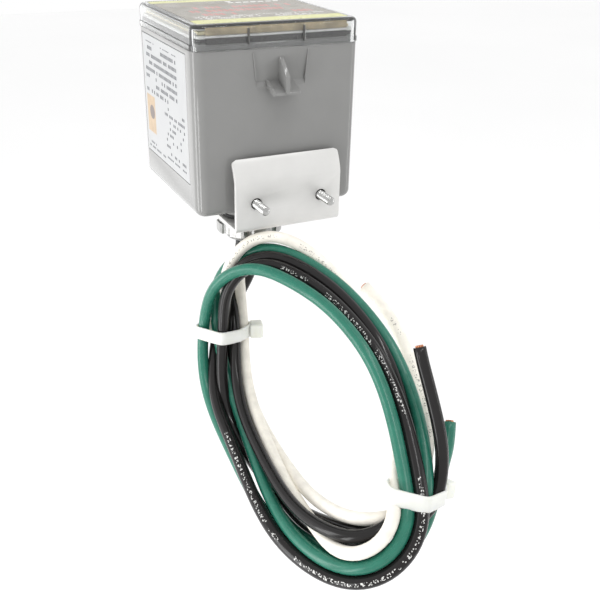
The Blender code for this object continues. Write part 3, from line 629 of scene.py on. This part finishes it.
def tie_band(name, at, facing, head_way, material, node):
    """A band pulled tight round the leads that pass the tie, with its head on the outside."""
    middle, out, across, along = coil_frame(at)
    middle = middle * MM
    along = np.array(facing) / np.linalg.norm(facing)
    across = across - along * (across @ along)
    across /= np.linalg.norm(across)
    out = np.cross(across, along)
    spots = crossings(middle, out, across, along, 22 * MM)
    rings = []
    for lift in (0.1 * MM, 0.1 * MM + TIE_THICKNESS):
        reach = WIRE / 2 + lift
        around = [(u + reach * c, v + reach * d) for u, v, c, d in spots]
        rings.append(resampled(hull(around), 96))
    inner, outer = rings
    start = np.argmin(np.linalg.norm(outer - inner[0], axis=1))
    outer = np.roll(outer, -start, axis=0)
    half = TIE_WIDTH / 2
    rim = 0.35 * MM
    middle_line = (inner + outer) / 2
    thin = 0.55
    section = []
    for level, blend, base in ((-half, thin, outer), (-half + rim, 1.0, outer),
                               (half - rim, 1.0, outer), (half, thin, outer),
                               (half, thin, inner), (half - rim, 1.0, inner),
                               (-half + rim, 1.0, inner), (-half, thin, inner)):
        section.append((level, middle_line + blend * (base - middle_line)))
    solid = bmesh.new()
    verts = []
    for level, line in section:
        verts.append([solid.verts.new(middle + u * out + v * across + level * along)
                      for u, v in line])
    rows, columns = len(verts), len(verts[0])
    for i in range(rows):
        for j in range(columns):
            k = (j + 1) % columns
            below = (i + 1) % rows
            face = solid.faces.new((verts[i][j], verts[i][k], verts[below][k], verts[below][j]))
            face.smooth = True
    bmesh.ops.recalc_face_normals(solid, faces=solid.faces)
    band = place(name, as_mesh(name, solid), material)
    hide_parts(node)

    way = np.array((head_way @ out, head_way @ across))
    way /= np.linalg.norm(way)
    edge = outer[np.argmax(outer @ way)]
    centre = middle + (edge[0] + way[0] * TIE_HEAD[0] * 0.38) * out \
        + (edge[1] + way[1] * TIE_HEAD[0] * 0.38) * across
    turn = Matrix(((*(way[0] * out + way[1] * across),), (*(-way[1] * out + way[0] * across),),
                   (*along,))).transposed().to_4x4()
    turn.translation = Vector(centre)
    head = rounded_block(name + "_head", TIE_HEAD, 0.9 * MM, turn, material)
    slot_hole = Matrix.Translation((TIE_HEAD[0] * 0.1, TIE_HEAD[1] / 2, 0))
    tail_size = (TIE_THICKNESS, 3.0 * MM, TIE_WIDTH * 0.8)
    stub = rounded_block(name + "_stub", tail_size, 0.3 * MM, turn @ slot_hole, material)
    return [band, head, stub]


def rounded_block(name, size, radius, matrix, material):
    """A small moulded block with rounded edges."""
    solid = bmesh.new()
    bmesh.ops.create_cube(solid, size=1.0)
    bmesh.ops.scale(solid, vec=size, verts=solid.verts)
    bmesh.ops.bevel(solid, geom=solid.edges[:], offset=radius, segments=3, profile=0.5,
                    affect="EDGES")
    bmesh.ops.transform(solid, matrix=matrix, verts=solid.verts)
    for face in solid.faces:
        face.smooth = True
    mesh = as_mesh(name, solid)
    mesh.set_sharp_from_angle(angle=math.radians(50))
    return place(name, mesh, material)


def make_ties():
    milky = (0.8, 0.81, 0.75)
    left = tie_band("tie_left", LEFT_TIE_AT, (0.05, 0.12, 0.97), np.array((0.94, -0.3, 0.1)),
                    nylon("tie_nylon", milky), "cable_tie_left")
    right = tie_band("tie_right", RIGHT_TIE_AT, (0.3, 0.25, 0.92), np.array((0.95, 0.3, 0.0)),
                     nylon("tie_nylon_right", milky), "cable_tie_right")
    return left + right


make_leads()
make_ties()


# Housing -----------------------------------------------------------------------------------------
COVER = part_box("clear_cover")
SKIRT = 0.35 * MM
SIDE_LOW = Vector((COVER[0][0] + SKIRT, COVER[0][1] + SKIRT, COVER[0][2] - 65.6 * MM))
SIDE_HIGH = Vector((COVER[1][0] - SKIRT, COVER[1][1] - SKIRT, COVER[0][2] - 0.3 * MM))
FRONT_Y = SIDE_LOW.y
CORNER_RADIUS = 4.4 * MM
BOTTOM_RADIUS = 3.4 * MM
CORNER_STEPS = 10
RIM_STEPS = 8
Z_TO_Y = Matrix.Rotation(math.radians(90), 4, "X")
WALL = 3.0 * MM
COVER_WALL = 1.8 * MM
LABEL_POCKET = 0.6 * MM
LATCH_X = -1.0 * MM
RIB_PLACES = (LATCH_X - 12.4 * MM, LATCH_X + 10.8 * MM)
LATCH_LOW_Z = 46.5 * MM
LATCH_TOP_Z = 58.6 * MM


def box_mesh(low, high, corner, bottom=0.0, top=0.0):
    """A closed box with rounded upright edges and rounded rims."""
    size = [high[i] - low[i] for i in range(3)]
    middle = [(high[i] + low[i]) / 2 for i in range(3)]
    solid = bmesh.new()
    bmesh.ops.create_cube(solid, size=1.0)
    bmesh.ops.scale(solid, vec=size, verts=solid.verts)
    bmesh.ops.translate(solid, vec=middle, verts=solid.verts)
    if corner:
        upright = [e for e in solid.edges if abs(e.verts[0].co.z - e.verts[1].co.z) > size[2] / 2]
        bmesh.ops.bevel(solid, geom=upright, offset=corner, segments=CORNER_STEPS, profile=0.5,
                        affect="EDGES")
    for radius, level in ((bottom, low[2]), (top, high[2])):
        if radius:
            rim = [e for e in solid.edges if all(abs(v.co.z - level) < 1e-6 for v in e.verts)]
            bmesh.ops.bevel(solid, geom=rim, offset=radius, segments=RIM_STEPS, profile=0.5,
                            affect="EDGES")
    return solid


def prism(outline, low_x, high_x):
    """A closed prism along X from an outline of (y, z) points."""
    solid = bmesh.new()
    ends = [[solid.verts.new((x, y, z)) for y, z in outline] for x in (low_x, high_x)]
    count = len(outline)
    for i in range(count):
        k = (i + 1) % count
        solid.faces.new((ends[0][i], ends[0][k], ends[1][k], ends[1][i]))
    solid.faces.new(ends[0][::-1])
    solid.faces.new(ends[1])
    bmesh.ops.recalc_face_normals(solid, faces=solid.faces)
    return solid


def cylinder_mesh(centre, radius, low_z, high_z, segments=48):
    solid = bmesh.new()
    bmesh.ops.create_cone(solid, cap_ends=True, segments=segments, radius1=radius, radius2=radius,
                          depth=high_z - low_z,
                          matrix=Matrix.Translation((*centre, (low_z + high_z) / 2)))
    return solid


def disc_mesh(centre, radius, depth):
    """A short cylinder along Y."""
    solid = bmesh.new()
    bmesh.ops.create_cone(solid, cap_ends=True, segments=40, radius1=radius, radius2=radius,
                          depth=depth, matrix=Matrix.Translation(centre) @ Z_TO_Y)
    return solid


def as_object(name, solid):
    obj = bpy.data.objects.new(name, as_mesh(name, solid))
    bpy.context.scene.collection.objects.link(obj)
    return obj


def carved(name, solid, joins=(), cuts=(), edge=0.0, angle=30):
    """A solid with others joined to it and cut from it, and with its sharp edges broken."""
    body = as_object(name + "_body", solid)
    tools = []
    for operation, others in (("UNION", joins), ("DIFFERENCE", cuts)):
        for other in others:
            tool = as_object(name + "_tool", other)
            tools.append(tool)
            modifier = body.modifiers.new("carve", "BOOLEAN")
            modifier.operation = operation
            modifier.solver = "EXACT"
            modifier.object = tool
    if edge:
        modifier = body.modifiers.new("edges", "BEVEL")
        modifier.width = edge
        modifier.segments = 2
        modifier.limit_method = "ANGLE"
        modifier.angle_limit = math.radians(angle)
    graph = bpy.context.evaluated_depsgraph_get()
    mesh = bpy.data.meshes.new_from_object(body.evaluated_get(graph))
    mesh.name = name
    for tool in tools + [body]:
        bpy.data.objects.remove(tool)
    mesh.shade_smooth()
    mesh.set_sharp_from_angle(angle=math.radians(angle))
    return mesh


def as_solid(mesh):
    """A mesh opened again, to join to it or cut from it."""
    solid = bmesh.new()
    solid.from_mesh(mesh)
    return solid


def softened(name, solid, edge, material):
    """A piece with its sharp edges broken, and nothing joined to it or cut from it."""
    return place(name, carved(name, solid, edge=edge), material)


LATCH_HALF = 10.4 * MM            # half the pocket's width at the bottom
LATCH_FLARE = 1.3 * MM            # how much more that half is at the top


def latch_half(z):
    """Half the pocket's width at a height."""
    share = min(max((z - LATCH_LOW_Z) / (LATCH_TOP_Z - LATCH_LOW_Z), 0.0), 1.0)
    return LATCH_HALF + share * LATCH_FLARE


def latch_wedge():
    """The pocket in the front wall: flush at the top, deepest at the bottom, narrowing downwards."""
    depth = 1.1 * MM
    outline = [(FRONT_Y - MM, LATCH_TOP_Z + 2 * MM), (FRONT_Y - MM, LATCH_LOW_Z - 1.6 * depth),
               (FRONT_Y, LATCH_LOW_Z - 1.6 * depth), (FRONT_Y + depth, LATCH_LOW_Z),
               (FRONT_Y, LATCH_TOP_Z)]
    wedge = prism(outline, LATCH_X - LATCH_HALF, LATCH_X + LATCH_HALF)
    for vert in wedge.verts:
        vert.co.x = LATCH_X + math.copysign(latch_half(vert.co.z), vert.co.x - LATCH_X)
    return wedge


def latch_bead(side):
    """The slim raised edge along one side of the pocket, leaning in towards the bottom."""
    foot = FRONT_Y + 0.4 * MM
    crest = FRONT_Y - 0.35 * MM
    outline = [(foot, LATCH_TOP_Z), (crest, LATCH_TOP_Z - MM), (crest, LATCH_LOW_Z + MM),
               (foot, LATCH_LOW_Z)]
    bead = prism(outline, -0.28 * MM, 0.28 * MM)
    for vert in bead.verts:
        vert.co.x += LATCH_X + side * latch_half(vert.co.z)
    return bead


def make_housing(grey):
    inside_low = SIDE_LOW + Vector((WALL, WALL, 2.8 * MM))
    inside_high = SIDE_HIGH + Vector((-WALL, -WALL, 9 * MM))
    lip_inset = COVER_WALL + 0.3 * MM
    lip_low = SIDE_LOW + Vector((lip_inset, lip_inset, 60 * MM))
    lip_high = SIDE_HIGH + Vector((-lip_inset, -lip_inset, 2.6 * MM))
    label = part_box("rating_label")
    margin = Vector((0, 0.3 * MM, 0.3 * MM))
    pocket_low = Vector((SIDE_LOW.x - MM, label[0][1], label[0][2])) - margin
    pocket_high = Vector((SIDE_LOW.x + LABEL_POCKET, label[1][1], label[1][2])) + margin
    pad_low = (LATCH_X - 13 * MM, FRONT_Y + 2 * MM, LATCH_LOW_Z - 6 * MM)
    pad_high = (LATCH_X + 13 * MM, FRONT_Y + WALL + 2.2 * MM, LATCH_TOP_Z - 4 * MM)
    nut = (NUT_MIDDLE[0], NUT_MIDDLE[1])
    shell = carved("housing_hollow", box_mesh(SIDE_LOW, SIDE_HIGH, CORNER_RADIUS, BOTTOM_RADIUS),
                   joins=[box_mesh(lip_low, lip_high, CORNER_RADIUS - lip_inset)],
                   cuts=[box_mesh(inside_low, inside_high, CORNER_RADIUS - WALL)])
    boss = cylinder_mesh(nut, 12.4 * MM, SIDE_LOW.z - 2.4 * MM, SIDE_LOW.z + 2 * MM, 64)
    joins = [box_mesh(pad_low, pad_high, 0.0), boss]
    cuts = [latch_wedge(), box_mesh(pocket_low, pocket_high, 0.0),
            cylinder_mesh(nut, 10.9 * MM, SIDE_LOW.z - 4 * MM, SIDE_LOW.z + 4 * MM, 64)]
    mesh = carved("housing", as_solid(shell), joins, cuts, 0.22 * MM)
    housing = place("housing", mesh, grey)
    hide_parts("base_housing")


def make_latch(grey):
    """The sloping tray with its lip, the pocket's raised edges, and the upright rib."""
    reach = FRONT_Y - 1.0 * MM
    root = FRONT_Y + 2.2 * MM
    sheet = 1.1 * MM
    back_z, front_z = LATCH_LOW_Z + 0.5 * MM, 43.2 * MM
    floor = [(root, back_z), (FRONT_Y - reach, front_z), (FRONT_Y - reach, front_z - sheet),
             (root, back_z - 1.6 * sheet)]
    lip = 0.9 * MM
    side = [(root, back_z + lip), (FRONT_Y - reach - 0.1 * MM, front_z + lip),
            (FRONT_Y - reach - 0.1 * MM, front_z - 1.05 * sheet), (root, back_z - 1.7 * sheet)]
    half = 5.9 * MM
    lip_plate = prism(side, LATCH_X - half - 0.1 * MM, LATCH_X - half + 0.9 * sheet)
    plates = [prism(floor, LATCH_X - half, LATCH_X + half), lip_plate, latch_bead(-1), latch_bead(1)]
    for index, plate in enumerate(plates):
        softened("latch_tray_%d" % index, plate, 0.16 * MM, grey)
    rib_x = LATCH_X + 0.2 * MM
    outline = [(root, 56.6 * MM), (FRONT_Y - 0.2 * MM, 55.6 * MM), (0.6 * MM, 49.2 * MM),
               (0.4 * MM, 42.6 * MM), (root, 44.6 * MM)]
    rib = prism(outline, rib_x - 0.9 * MM, rib_x + 0.9 * MM)
    softened("latch_rib", rib, 0.2 * MM, grey)


# Threads -----------------------------------------------------------------------------------------
NIPPLE_RADIUS = 10.6 * MM
NIPPLE_BORE = 7.9 * MM
NIPPLE_PITCH = 1.814 * MM
NIPPLE_THREAD = 0.85 * MM
STUD_RADIUS = 1.85 * MM
STUD_PITCH = 0.79 * MM
STUD_THREAD = 0.32 * MM
STUD_HEAD_RADIUS = 3.3 * MM
STUD_HEAD_HEIGHT = 2.0 * MM
STUDS = ("stud_left", "stud_right")


def threaded(name, radius, length, pitch, depth, matrix, material, bore=0.0, sides=32):
    """A threaded rod or pipe along its own +Z, whose surface rises and falls with the helix."""
    per_pitch = 8
    rows = int(round(length / pitch * per_pitch)) + 1
    end = pitch * 0.9
    solid = bmesh.new()
    rings = []
    for i in range(rows):
        z = length * i / (rows - 1)
        taper = min(z, length - z, end) / end
        ring = []
        for j in range(sides):
            angle = 2 * math.pi * j / sides
            phase = (z / pitch - j / sides) % 1.0
            ridge = 1 - abs(2 * phase - 1)
            crest = min(max(1.35 * ridge - 0.12, 0.0), 1.0)
            r = radius - depth + depth * crest * min(1.0, 0.35 + taper)
            r -= depth * 0.9 * max(0.0, 0.5 - taper)
            ring.append(solid.verts.new((r * math.cos(angle), r * math.sin(angle), z)))
        rings.append(ring)
    if bore:
        for z in (length, 0.0):
            rings.append([solid.verts.new((bore * math.cos(2 * math.pi * j / sides),
                                           bore * math.sin(2 * math.pi * j / sides), z))
                          for j in range(sides)])
    count = len(rings)
    for i in range(count if bore else count - 1):
        k = (i + 1) % count
        for j in range(sides):
            m = (j + 1) % sides
            face = solid.faces.new((rings[i][j], rings[i][m], rings[k][m], rings[k][j]))
            face.smooth = True
    if not bore:
        solid.faces.new(rings[0][::-1])
        solid.faces.new(rings[-1])
    bmesh.ops.transform(solid, matrix=matrix, verts=solid.verts)
    bmesh.ops.recalc_face_normals(solid, faces=solid.faces)
    mesh = as_mesh(name, solid)
    mesh.set_sharp_from_angle(angle=math.radians(60))
    return place(name, mesh, material)


def make_studs():
    metal = zinc("stud_zinc", (0.52, 0.52, 0.51), 0.16)
    # The heads' near-black zinc is painted shade: the ring of head seen round each stud in its hole reads
    # as the shadow in the gap.
    dark = zinc("stud_head_shade_zinc", (0.12, 0.12, 0.12), 0.45)
    for name in STUDS:
        low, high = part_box(name)
        x = (low[0] + high[0]) / 2
        z = (low[2] + high[2]) / 2
        foot = high[1] - STUD_HEAD_HEIGHT
        stud = threaded(name + "_thread", STUD_RADIUS, foot - low[1], STUD_PITCH, STUD_THREAD,
                        Matrix.Translation((x, foot, z)) @ Z_TO_Y, metal, sides=28)
        head = disc_mesh((x, high[1] - 1.15 * MM, z), STUD_HEAD_RADIUS, 2.2 * MM)
        cap = softened(name + "_head", head, 0.5 * MM, dark)
        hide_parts(name)


def make_nipple(grey):
    low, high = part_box("conduit_nipple")
    pipe = threaded("nipple_thread", NIPPLE_RADIUS, high[2] - low[2], NIPPLE_PITCH, NIPPLE_THREAD,
                    Matrix.Translation((*NUT_MIDDLE, low[2])), grey, bore=NIPPLE_BORE, sides=72)
    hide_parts("conduit_nipple")


# Bracket -----------------------------------------------------------------------------------------
def make_bracket(steel):
    """The bent sheet, row by row from the flange's end, round the bend and up to the leaning edge."""
    low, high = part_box("mounting_bracket")
    sheet = 1.8 * MM
    bend = 2.4 * MM
    corner = 1.8 * MM
    mid = sheet / 2
    line = [(high[1], low[2] + mid), (high[1] - corner / 2, low[2] + mid), (high[1] - corner, low[2] + mid)]
    for i in range(9):
        angle = math.radians(270 - 90 * i / 8)
        line.append((bend + (bend - mid) * math.cos(angle), low[2] + bend + (bend - mid) * math.sin(angle)))
    lean_from = 8.7 * MM
    lean = 3.6 * MM
    steps = 14
    for i in range(steps + 1):
        share = i / steps
        line.append((mid + lean * share ** 1.5, lean_from + share * (high[2] - lean_from)))
    travelled = [0.0]
    for a, b in zip(line, line[1:]):
        travelled.append(travelled[-1] + math.dist(a, b))
    total = travelled[-1]
    solid = bmesh.new()
    rows = []
    for (y, z), way in zip(line, travelled):
        edge = min(way, total - way)
        cutback = corner - math.sqrt(max(corner ** 2 - max(corner - edge, 0.0) ** 2, 0.0))
        half = high[0] - cutback
        rows.append([solid.verts.new((x, y, z)) for x in (-half, half)])
    for a, b in zip(rows, rows[1:]):
        solid.faces.new((a[0], a[1], b[1], b[0]))
    bmesh.ops.recalc_face_normals(solid, faces=solid.faces)
    sheet_object = as_object("bracket_sheet", solid)
    thick = sheet_object.modifiers.new("sheet", "SOLIDIFY")
    thick.thickness = sheet
    thick.offset = 0.0
    graph = bpy.context.evaluated_depsgraph_get()
    plate = bpy.data.meshes.new_from_object(sheet_object.evaluated_get(graph))
    bpy.data.objects.remove(sheet_object)
    holes = [cylinder_mesh(tuple(NUT_MIDDLE), NIPPLE_RADIUS + 0.6 * MM, low[2] - MM, low[2] + 3 * MM, 64)]
    for name in STUDS:
        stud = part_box(name)
        x = (stud[0][0] + stud[1][0]) / 2
        holes.append(disc_mesh((x, 0.5 * MM, 0), STUD_RADIUS + 0.5 * MM, 6 * MM))
    mesh = carved("bracket", as_solid(plate), (), holes, 0.28 * MM, 32)
    bracket = place("bracket", mesh, steel)
    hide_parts("mounting_bracket")


# Cover -------------------------------------------------------------------------------------------
STRIP_EDGE = 0.08 * MM


def make_cover(clear):
    """The clear cover with its skirt and front ribs; the pale and buff strips seen through it; a dark strip
    that is partly the seal and partly painted shade; and painted shade beside each rib.
    """
    low, high = COVER
    body_low = Vector((SIDE_LOW.x, SIDE_LOW.y, low[2]))
    body_high = Vector((SIDE_HIGH.x, SIDE_HIGH.y, high[2]))
    edge = 2.1 * MM
    skirt_low = body_low - Vector((SKIRT, SKIRT, 0))
    skirt_high = Vector((body_high.x + SKIRT, body_high.y + SKIRT, low[2] + 1.9 * MM))
    inset = Vector((COVER_WALL, COVER_WALL, 0))
    inside = box_mesh(body_low + inset - Vector((0, 0, MM)),
                      body_high - inset - Vector((0, 0, COVER_WALL)),
                      CORNER_RADIUS - COVER_WALL, 0.0, edge - COVER_WALL)
    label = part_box("top_label")
    margin = Vector((0.3 * MM, 0.3 * MM, 0))
    pocket = box_mesh(Vector((label[0][0], label[0][1], high[2] - LABEL_POCKET)) - margin,
                      Vector((label[1][0], label[1][1], high[2] + MM)) + margin, 1.3 * MM)
    hollow = carved("cover_hollow", box_mesh(body_low, body_high, CORNER_RADIUS, 0.0, edge),
                    [box_mesh(skirt_low, skirt_high, CORNER_RADIUS + SKIRT)], [inside, pocket])
    ribs = []
    for x in RIB_PLACES:
        rib_low = Vector((x - 0.5 * MM, body_low.y - 0.25 * MM, low[2] + 2.3 * MM))
        rib_high = Vector((x + 0.5 * MM, body_low.y + 3.0 * MM, high[2] - 2.6 * MM))
        ribs.append(box_mesh(rib_low, rib_high, 0.0))
    mesh = carved("cover", as_solid(hollow), ribs, edge=0.15 * MM)
    cover = place("cover", mesh, clear)
    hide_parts("clear_cover")
    behind = body_low.y + COVER_WALL + 0.1 * MM
    # The dark strip is partly the seal's edge and partly painted shade in the gap below the card.
    for name, levels, colour in (("card_edge", (5.4, 7.7), (0.42, 0.34, 0.2)),
                                 ("frame_edge", (4.5, 5.1), (0.92, 0.92, 0.9)),
                                 ("seal_edge_and_shade", (2.0, 4.3), (0.012, 0.009, 0.007))):
        band_low = Vector((body_low.x + 5.5 * MM, behind, low[2] + levels[0] * MM))
        band_high = Vector((body_high.x - 5.5 * MM, behind + 0.4 * MM, low[2] + levels[1] * MM))
        band = box_mesh(band_low, band_high, 0.0)
        softened(name, band, STRIP_EDGE, plain(name, colour, 0.4, 0.0, 0.25))
    # Dark strips beside the clear ribs: painted shade for the dark lines that the ribs show in the clear
    # wall.
    rib_shade_tint = plain("rib_edge", (0.09, 0.085, 0.08), 0.3)
    for index, x in enumerate(RIB_PLACES):
        strip_low = Vector((x - 0.95 * MM, body_low.y + 0.12 * MM, low[2] + 1.4 * MM))
        strip_high = Vector((x - 0.5 * MM, body_low.y + 2.6 * MM, high[2] - 1.9 * MM))
        strip = box_mesh(strip_low, strip_high, 0.0)
        softened("rib_%d" % index, strip, STRIP_EDGE, rib_shade_tint)


# Labels ------------------------------------------------------------------------------------------
def text_rows(shader, across, down, rows, columns, fill, share):
    """Rows of short illegible bars: 1 on a bar, 0 between. Both coordinates run from 0 to 1."""
    line = shader.math("MULTIPLY", down, rows)
    letter = shader.math("MULTIPLY", across, columns)
    inside = shader.math("LESS_THAN", shader.math("FRACT", line), fill)
    bars = shader.math("LESS_THAN", shader.math("FRACT", letter), 0.72)
    chosen = shader.math("LESS_THAN", shader.cells(letter, line), share)
    word = shader.math("LESS_THAN", shader.cells(shader.math("MULTIPLY", across, columns / 5.0), line), 0.8)
    mask = inside
    for part in (bars, chosen, word):
        mask = shader.math("MULTIPLY", mask, part)
    return mask


def in_area(shader, across, down, left, right, low, high):
    return shader.math("MULTIPLY", shader.between(across, left, right),
                       shader.between(down, low, high))


def bars_in(shader, across, down, area, *rows):
    """Rows of bars within an area, given as left, right, low and high, and 0 outside it."""
    return shader.math("MULTIPLY", text_rows(shader, across, down, *rows),
                       in_area(shader, across, down, *area))


def top_label_print():
    """Yellow edges front and back, and a grey panel with rows of red and pale bars between them."""
    shader = Shader("top_label_print")
    across, down, _ = shader.axes(shader.coords.outputs["Generated"])
    yellow = varied(shader, (0.64, 0.64, 0.27), 0.04, 120.0)
    grey = varied(shader, (0.27, 0.25, 0.21), 0.08, 120.0)
    colour = shader.mix(shader.between(down, 0.13, 0.9), yellow, grey)
    red = bars_in(shader, across, down, (0.12, 0.9, 0.28, 0.72), 7.0, 26.0, 0.6, 0.85)
    colour = shader.mix(red, colour, (0.5, 0.2, 0.18))
    pale = bars_in(shader, across, down, (0.06, 0.94, 0.14, 0.27), 23.0, 60.0, 0.5, 0.75)
    colour = shader.mix(pale, colour, (0.8, 0.8, 0.78))
    title = bars_in(shader, across, down, (0.5, 0.94, 0.76, 0.88), 18.0, 18.0, 0.55, 0.95)
    colour = shader.mix(title, colour, (0.85, 0.85, 0.82))
    gloss = shader.spread(shader.noise(150.0, 3.0), 0.3, 0.7, 0.22, 0.36)
    shader.bump(shader.noise(900.0, 2.0), 0.02, 0.0001)
    return shader.finish(colour, gloss)


def rating_label_print():
    """Pale vinyl with rows of dark bars, and a buff field with a dark round mark."""
    shader = Shader("rating_label_print")
    _, across, down = shader.axes(shader.coords.outputs["Generated"])
    across = shader.math("SUBTRACT", 1.0, across)
    colour = varied(shader, (0.45, 0.455, 0.46), 0.02, 100.0)
    upper = bars_in(shader, across, down, (0.05, 0.8, 0.5, 0.95), 17.0, 34.0, 0.5, 0.75)
    lower = bars_in(shader, across, down, (0.48, 0.94, 0.06, 0.5), 19.0, 34.0, 0.45, 0.6)
    foot = bars_in(shader, across, down, (0.04, 0.45, 0.02, 0.1), 26.0, 44.0, 0.5, 0.7)
    ink = shader.math("MAXIMUM", shader.math("MAXIMUM", upper, lower), foot)
    colour = shader.mix(ink, colour, (0.07, 0.075, 0.085))
    field = in_area(shader, across, down, 0.04, 0.24, 0.18, 0.5)
    colour = shader.mix(field, colour, varied(shader, (0.46, 0.35, 0.24), 0.08, 400.0))
    right = shader.math("SUBTRACT", across, 0.16)
    up = shader.math("SUBTRACT", down, 0.36)
    far = shader.math("SQRT", shader.math("ADD", shader.math("MULTIPLY", right, right),
                                          shader.math("MULTIPLY", up, up)))
    colour = shader.mix(shader.math("LESS_THAN", far, 0.06), colour, (0.2, 0.17, 0.16))
    gloss = shader.spread(shader.noise(200.0, 3.0), 0.3, 0.7, 0.5, 0.6)
    shader.bump(shader.noise(700.0, 2.0), 0.03, 0.0001)
    return shader.finish(colour, gloss)


# Lights and floor --------------------------------------------------------------------------------
FLOOR_HALF = 3.0
FLOOR_DROP = 0.25                 # how far the floor is below the hanging coil


def area_light(name, spot, target, size, energy):
    data = bpy.data.lights.new(name, "AREA")
    data.shape = "RECTANGLE"
    data.size = size[0]
    data.size_y = size[1]
    data.energy = energy
    light = bpy.data.objects.new(name, data)
    light.location = spot
    light.rotation_euler = (Vector(target) - Vector(spot)).to_track_quat("-Z", "Y").to_euler()
    bpy.context.scene.collection.objects.link(light)


def make_studio():
    world = bpy.data.worlds.new("studio")
    world.use_nodes = True
    background = world.node_tree.nodes["Background"]
    background.inputs["Color"].default_value = (1.0, 1.0, 1.0, 1.0)
    background.inputs["Strength"].default_value = 1.0
    bpy.context.scene.world = world
    bpy.context.scene.view_settings.view_transform = "Standard"
    middle = (0.0, 0.0, -0.02)
    area_light("left_softbox", (-0.68, 0.25, 0.0), middle, (0.6, 0.7), 0.8)
    area_light("edge_strip", (-0.62, 0.1, -0.2), (0, 0, -0.05), (0.18, 0.8), 2.0)
    area_light("corner_strip", (-0.5, -0.22, -0.3), (0, 0, 0.02), (0.14, 0.8), 1.9)
    area_light("back_softbox", (-0.2, 0.47, -0.14), middle, (0.3, 0.36), 0.25)
    area_light("right_softbox", (0.8, -0.35, -0.1), (0, 0, -0.1), (0.05, 1.2), 1.0)
    area_light("top_softbox", (0.1, -0.25, 0.75), middle, (0.9, 0.035), 1.8)
    solid = bmesh.new()
    bmesh.ops.create_grid(solid, x_segments=1, y_segments=1, size=FLOOR_HALF)
    ground = bpy.data.objects.new("floor", as_mesh("floor", solid))
    ground.location = (0, 0, CAD_BOX[0][2] - FLOOR_DROP)
    shader = Shader("floor")
    ground.data.materials.append(shader.finish(varied(shader, (0.97, 0.97, 0.97), 0.01, 2.0), 0.6))
    bpy.context.scene.collection.objects.link(ground)


make_studio()


# Finishes ----------------------------------------------------------------------------------------
def finish_cad_nodes(clear):
    """The nodes that keep the CAD's shape."""
    frame_white = moulded_plastic("white_frame", (0.75, 0.75, 0.73), 0.35)
    finishes = {
        "light_pipe_1": clear, "light_pipe_2": clear, "cover_gasket": rubber("gasket_rubber"),
        "sealing_gasket": rubber("seal_rubber"), "inner_frame": frame_white,
        "label_card": plain("buff_card", (0.62, 0.56, 0.36), 0.6),
        "top_label": top_label_print(), "rating_label": rating_label_print(),
        "bonding_washer": zinc("washer_zinc", (0.46, 0.46, 0.45)),
        "locknut": zinc("nut_zinc", (0.43, 0.43, 0.42), 0.32),
        "circuit_board": plain("board_mask", (0.02, 0.16, 0.07), 0.35),
        "film_capacitor": plain("capacitor_case", (0.55, 0.45, 0.1), 0.4),
    }
    jacket = {"white": (0.8, 0.76, 0.66), "black_a": (0.022, 0.02, 0.02),
              "black_b": (0.022, 0.02, 0.02), "green": (0.028, 0.19, 0.135)}
    groups = [
        ("varistor_", plain("varistor_epoxy", (0.06, 0.14, 0.42), 0.35)),
        ("thermal_fuse_", plain("fuse_ceramic", (0.8, 0.78, 0.72), 0.6)),
        ("board_screw_", zinc("screw_zinc")), ("terminal_", plain("brass", (0.7, 0.5, 0.2), 0.3, 1.0)),
        ("indicator_led_", plain("led_lens", (0.1, 0.6, 0.2), 0.15)),
    ]
    groups += [("lead_" + name, plain("inner_" + name, colour, 0.35))
               for name, colour in jacket.items()]
    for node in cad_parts:
        material = finishes.get(node)
        for start, shared in groups:
            if node.startswith(start):
                material = shared
        if material:
            finish_node(node, material)


def make_pieces():
    grey = moulded_plastic("grey_housing", (0.225, 0.225, 0.22), 0.13)
    clear = clear_plastic("clear_cover")
    steel = rolled_steel("bracket_steel", (0.68, 0.675, 0.66))
    make_housing(grey)
    make_latch(grey)
    make_nipple(grey)
    make_cover(clear)
    make_bracket(steel)
    make_studs()
    finish_cad_nodes(clear)


make_pieces()
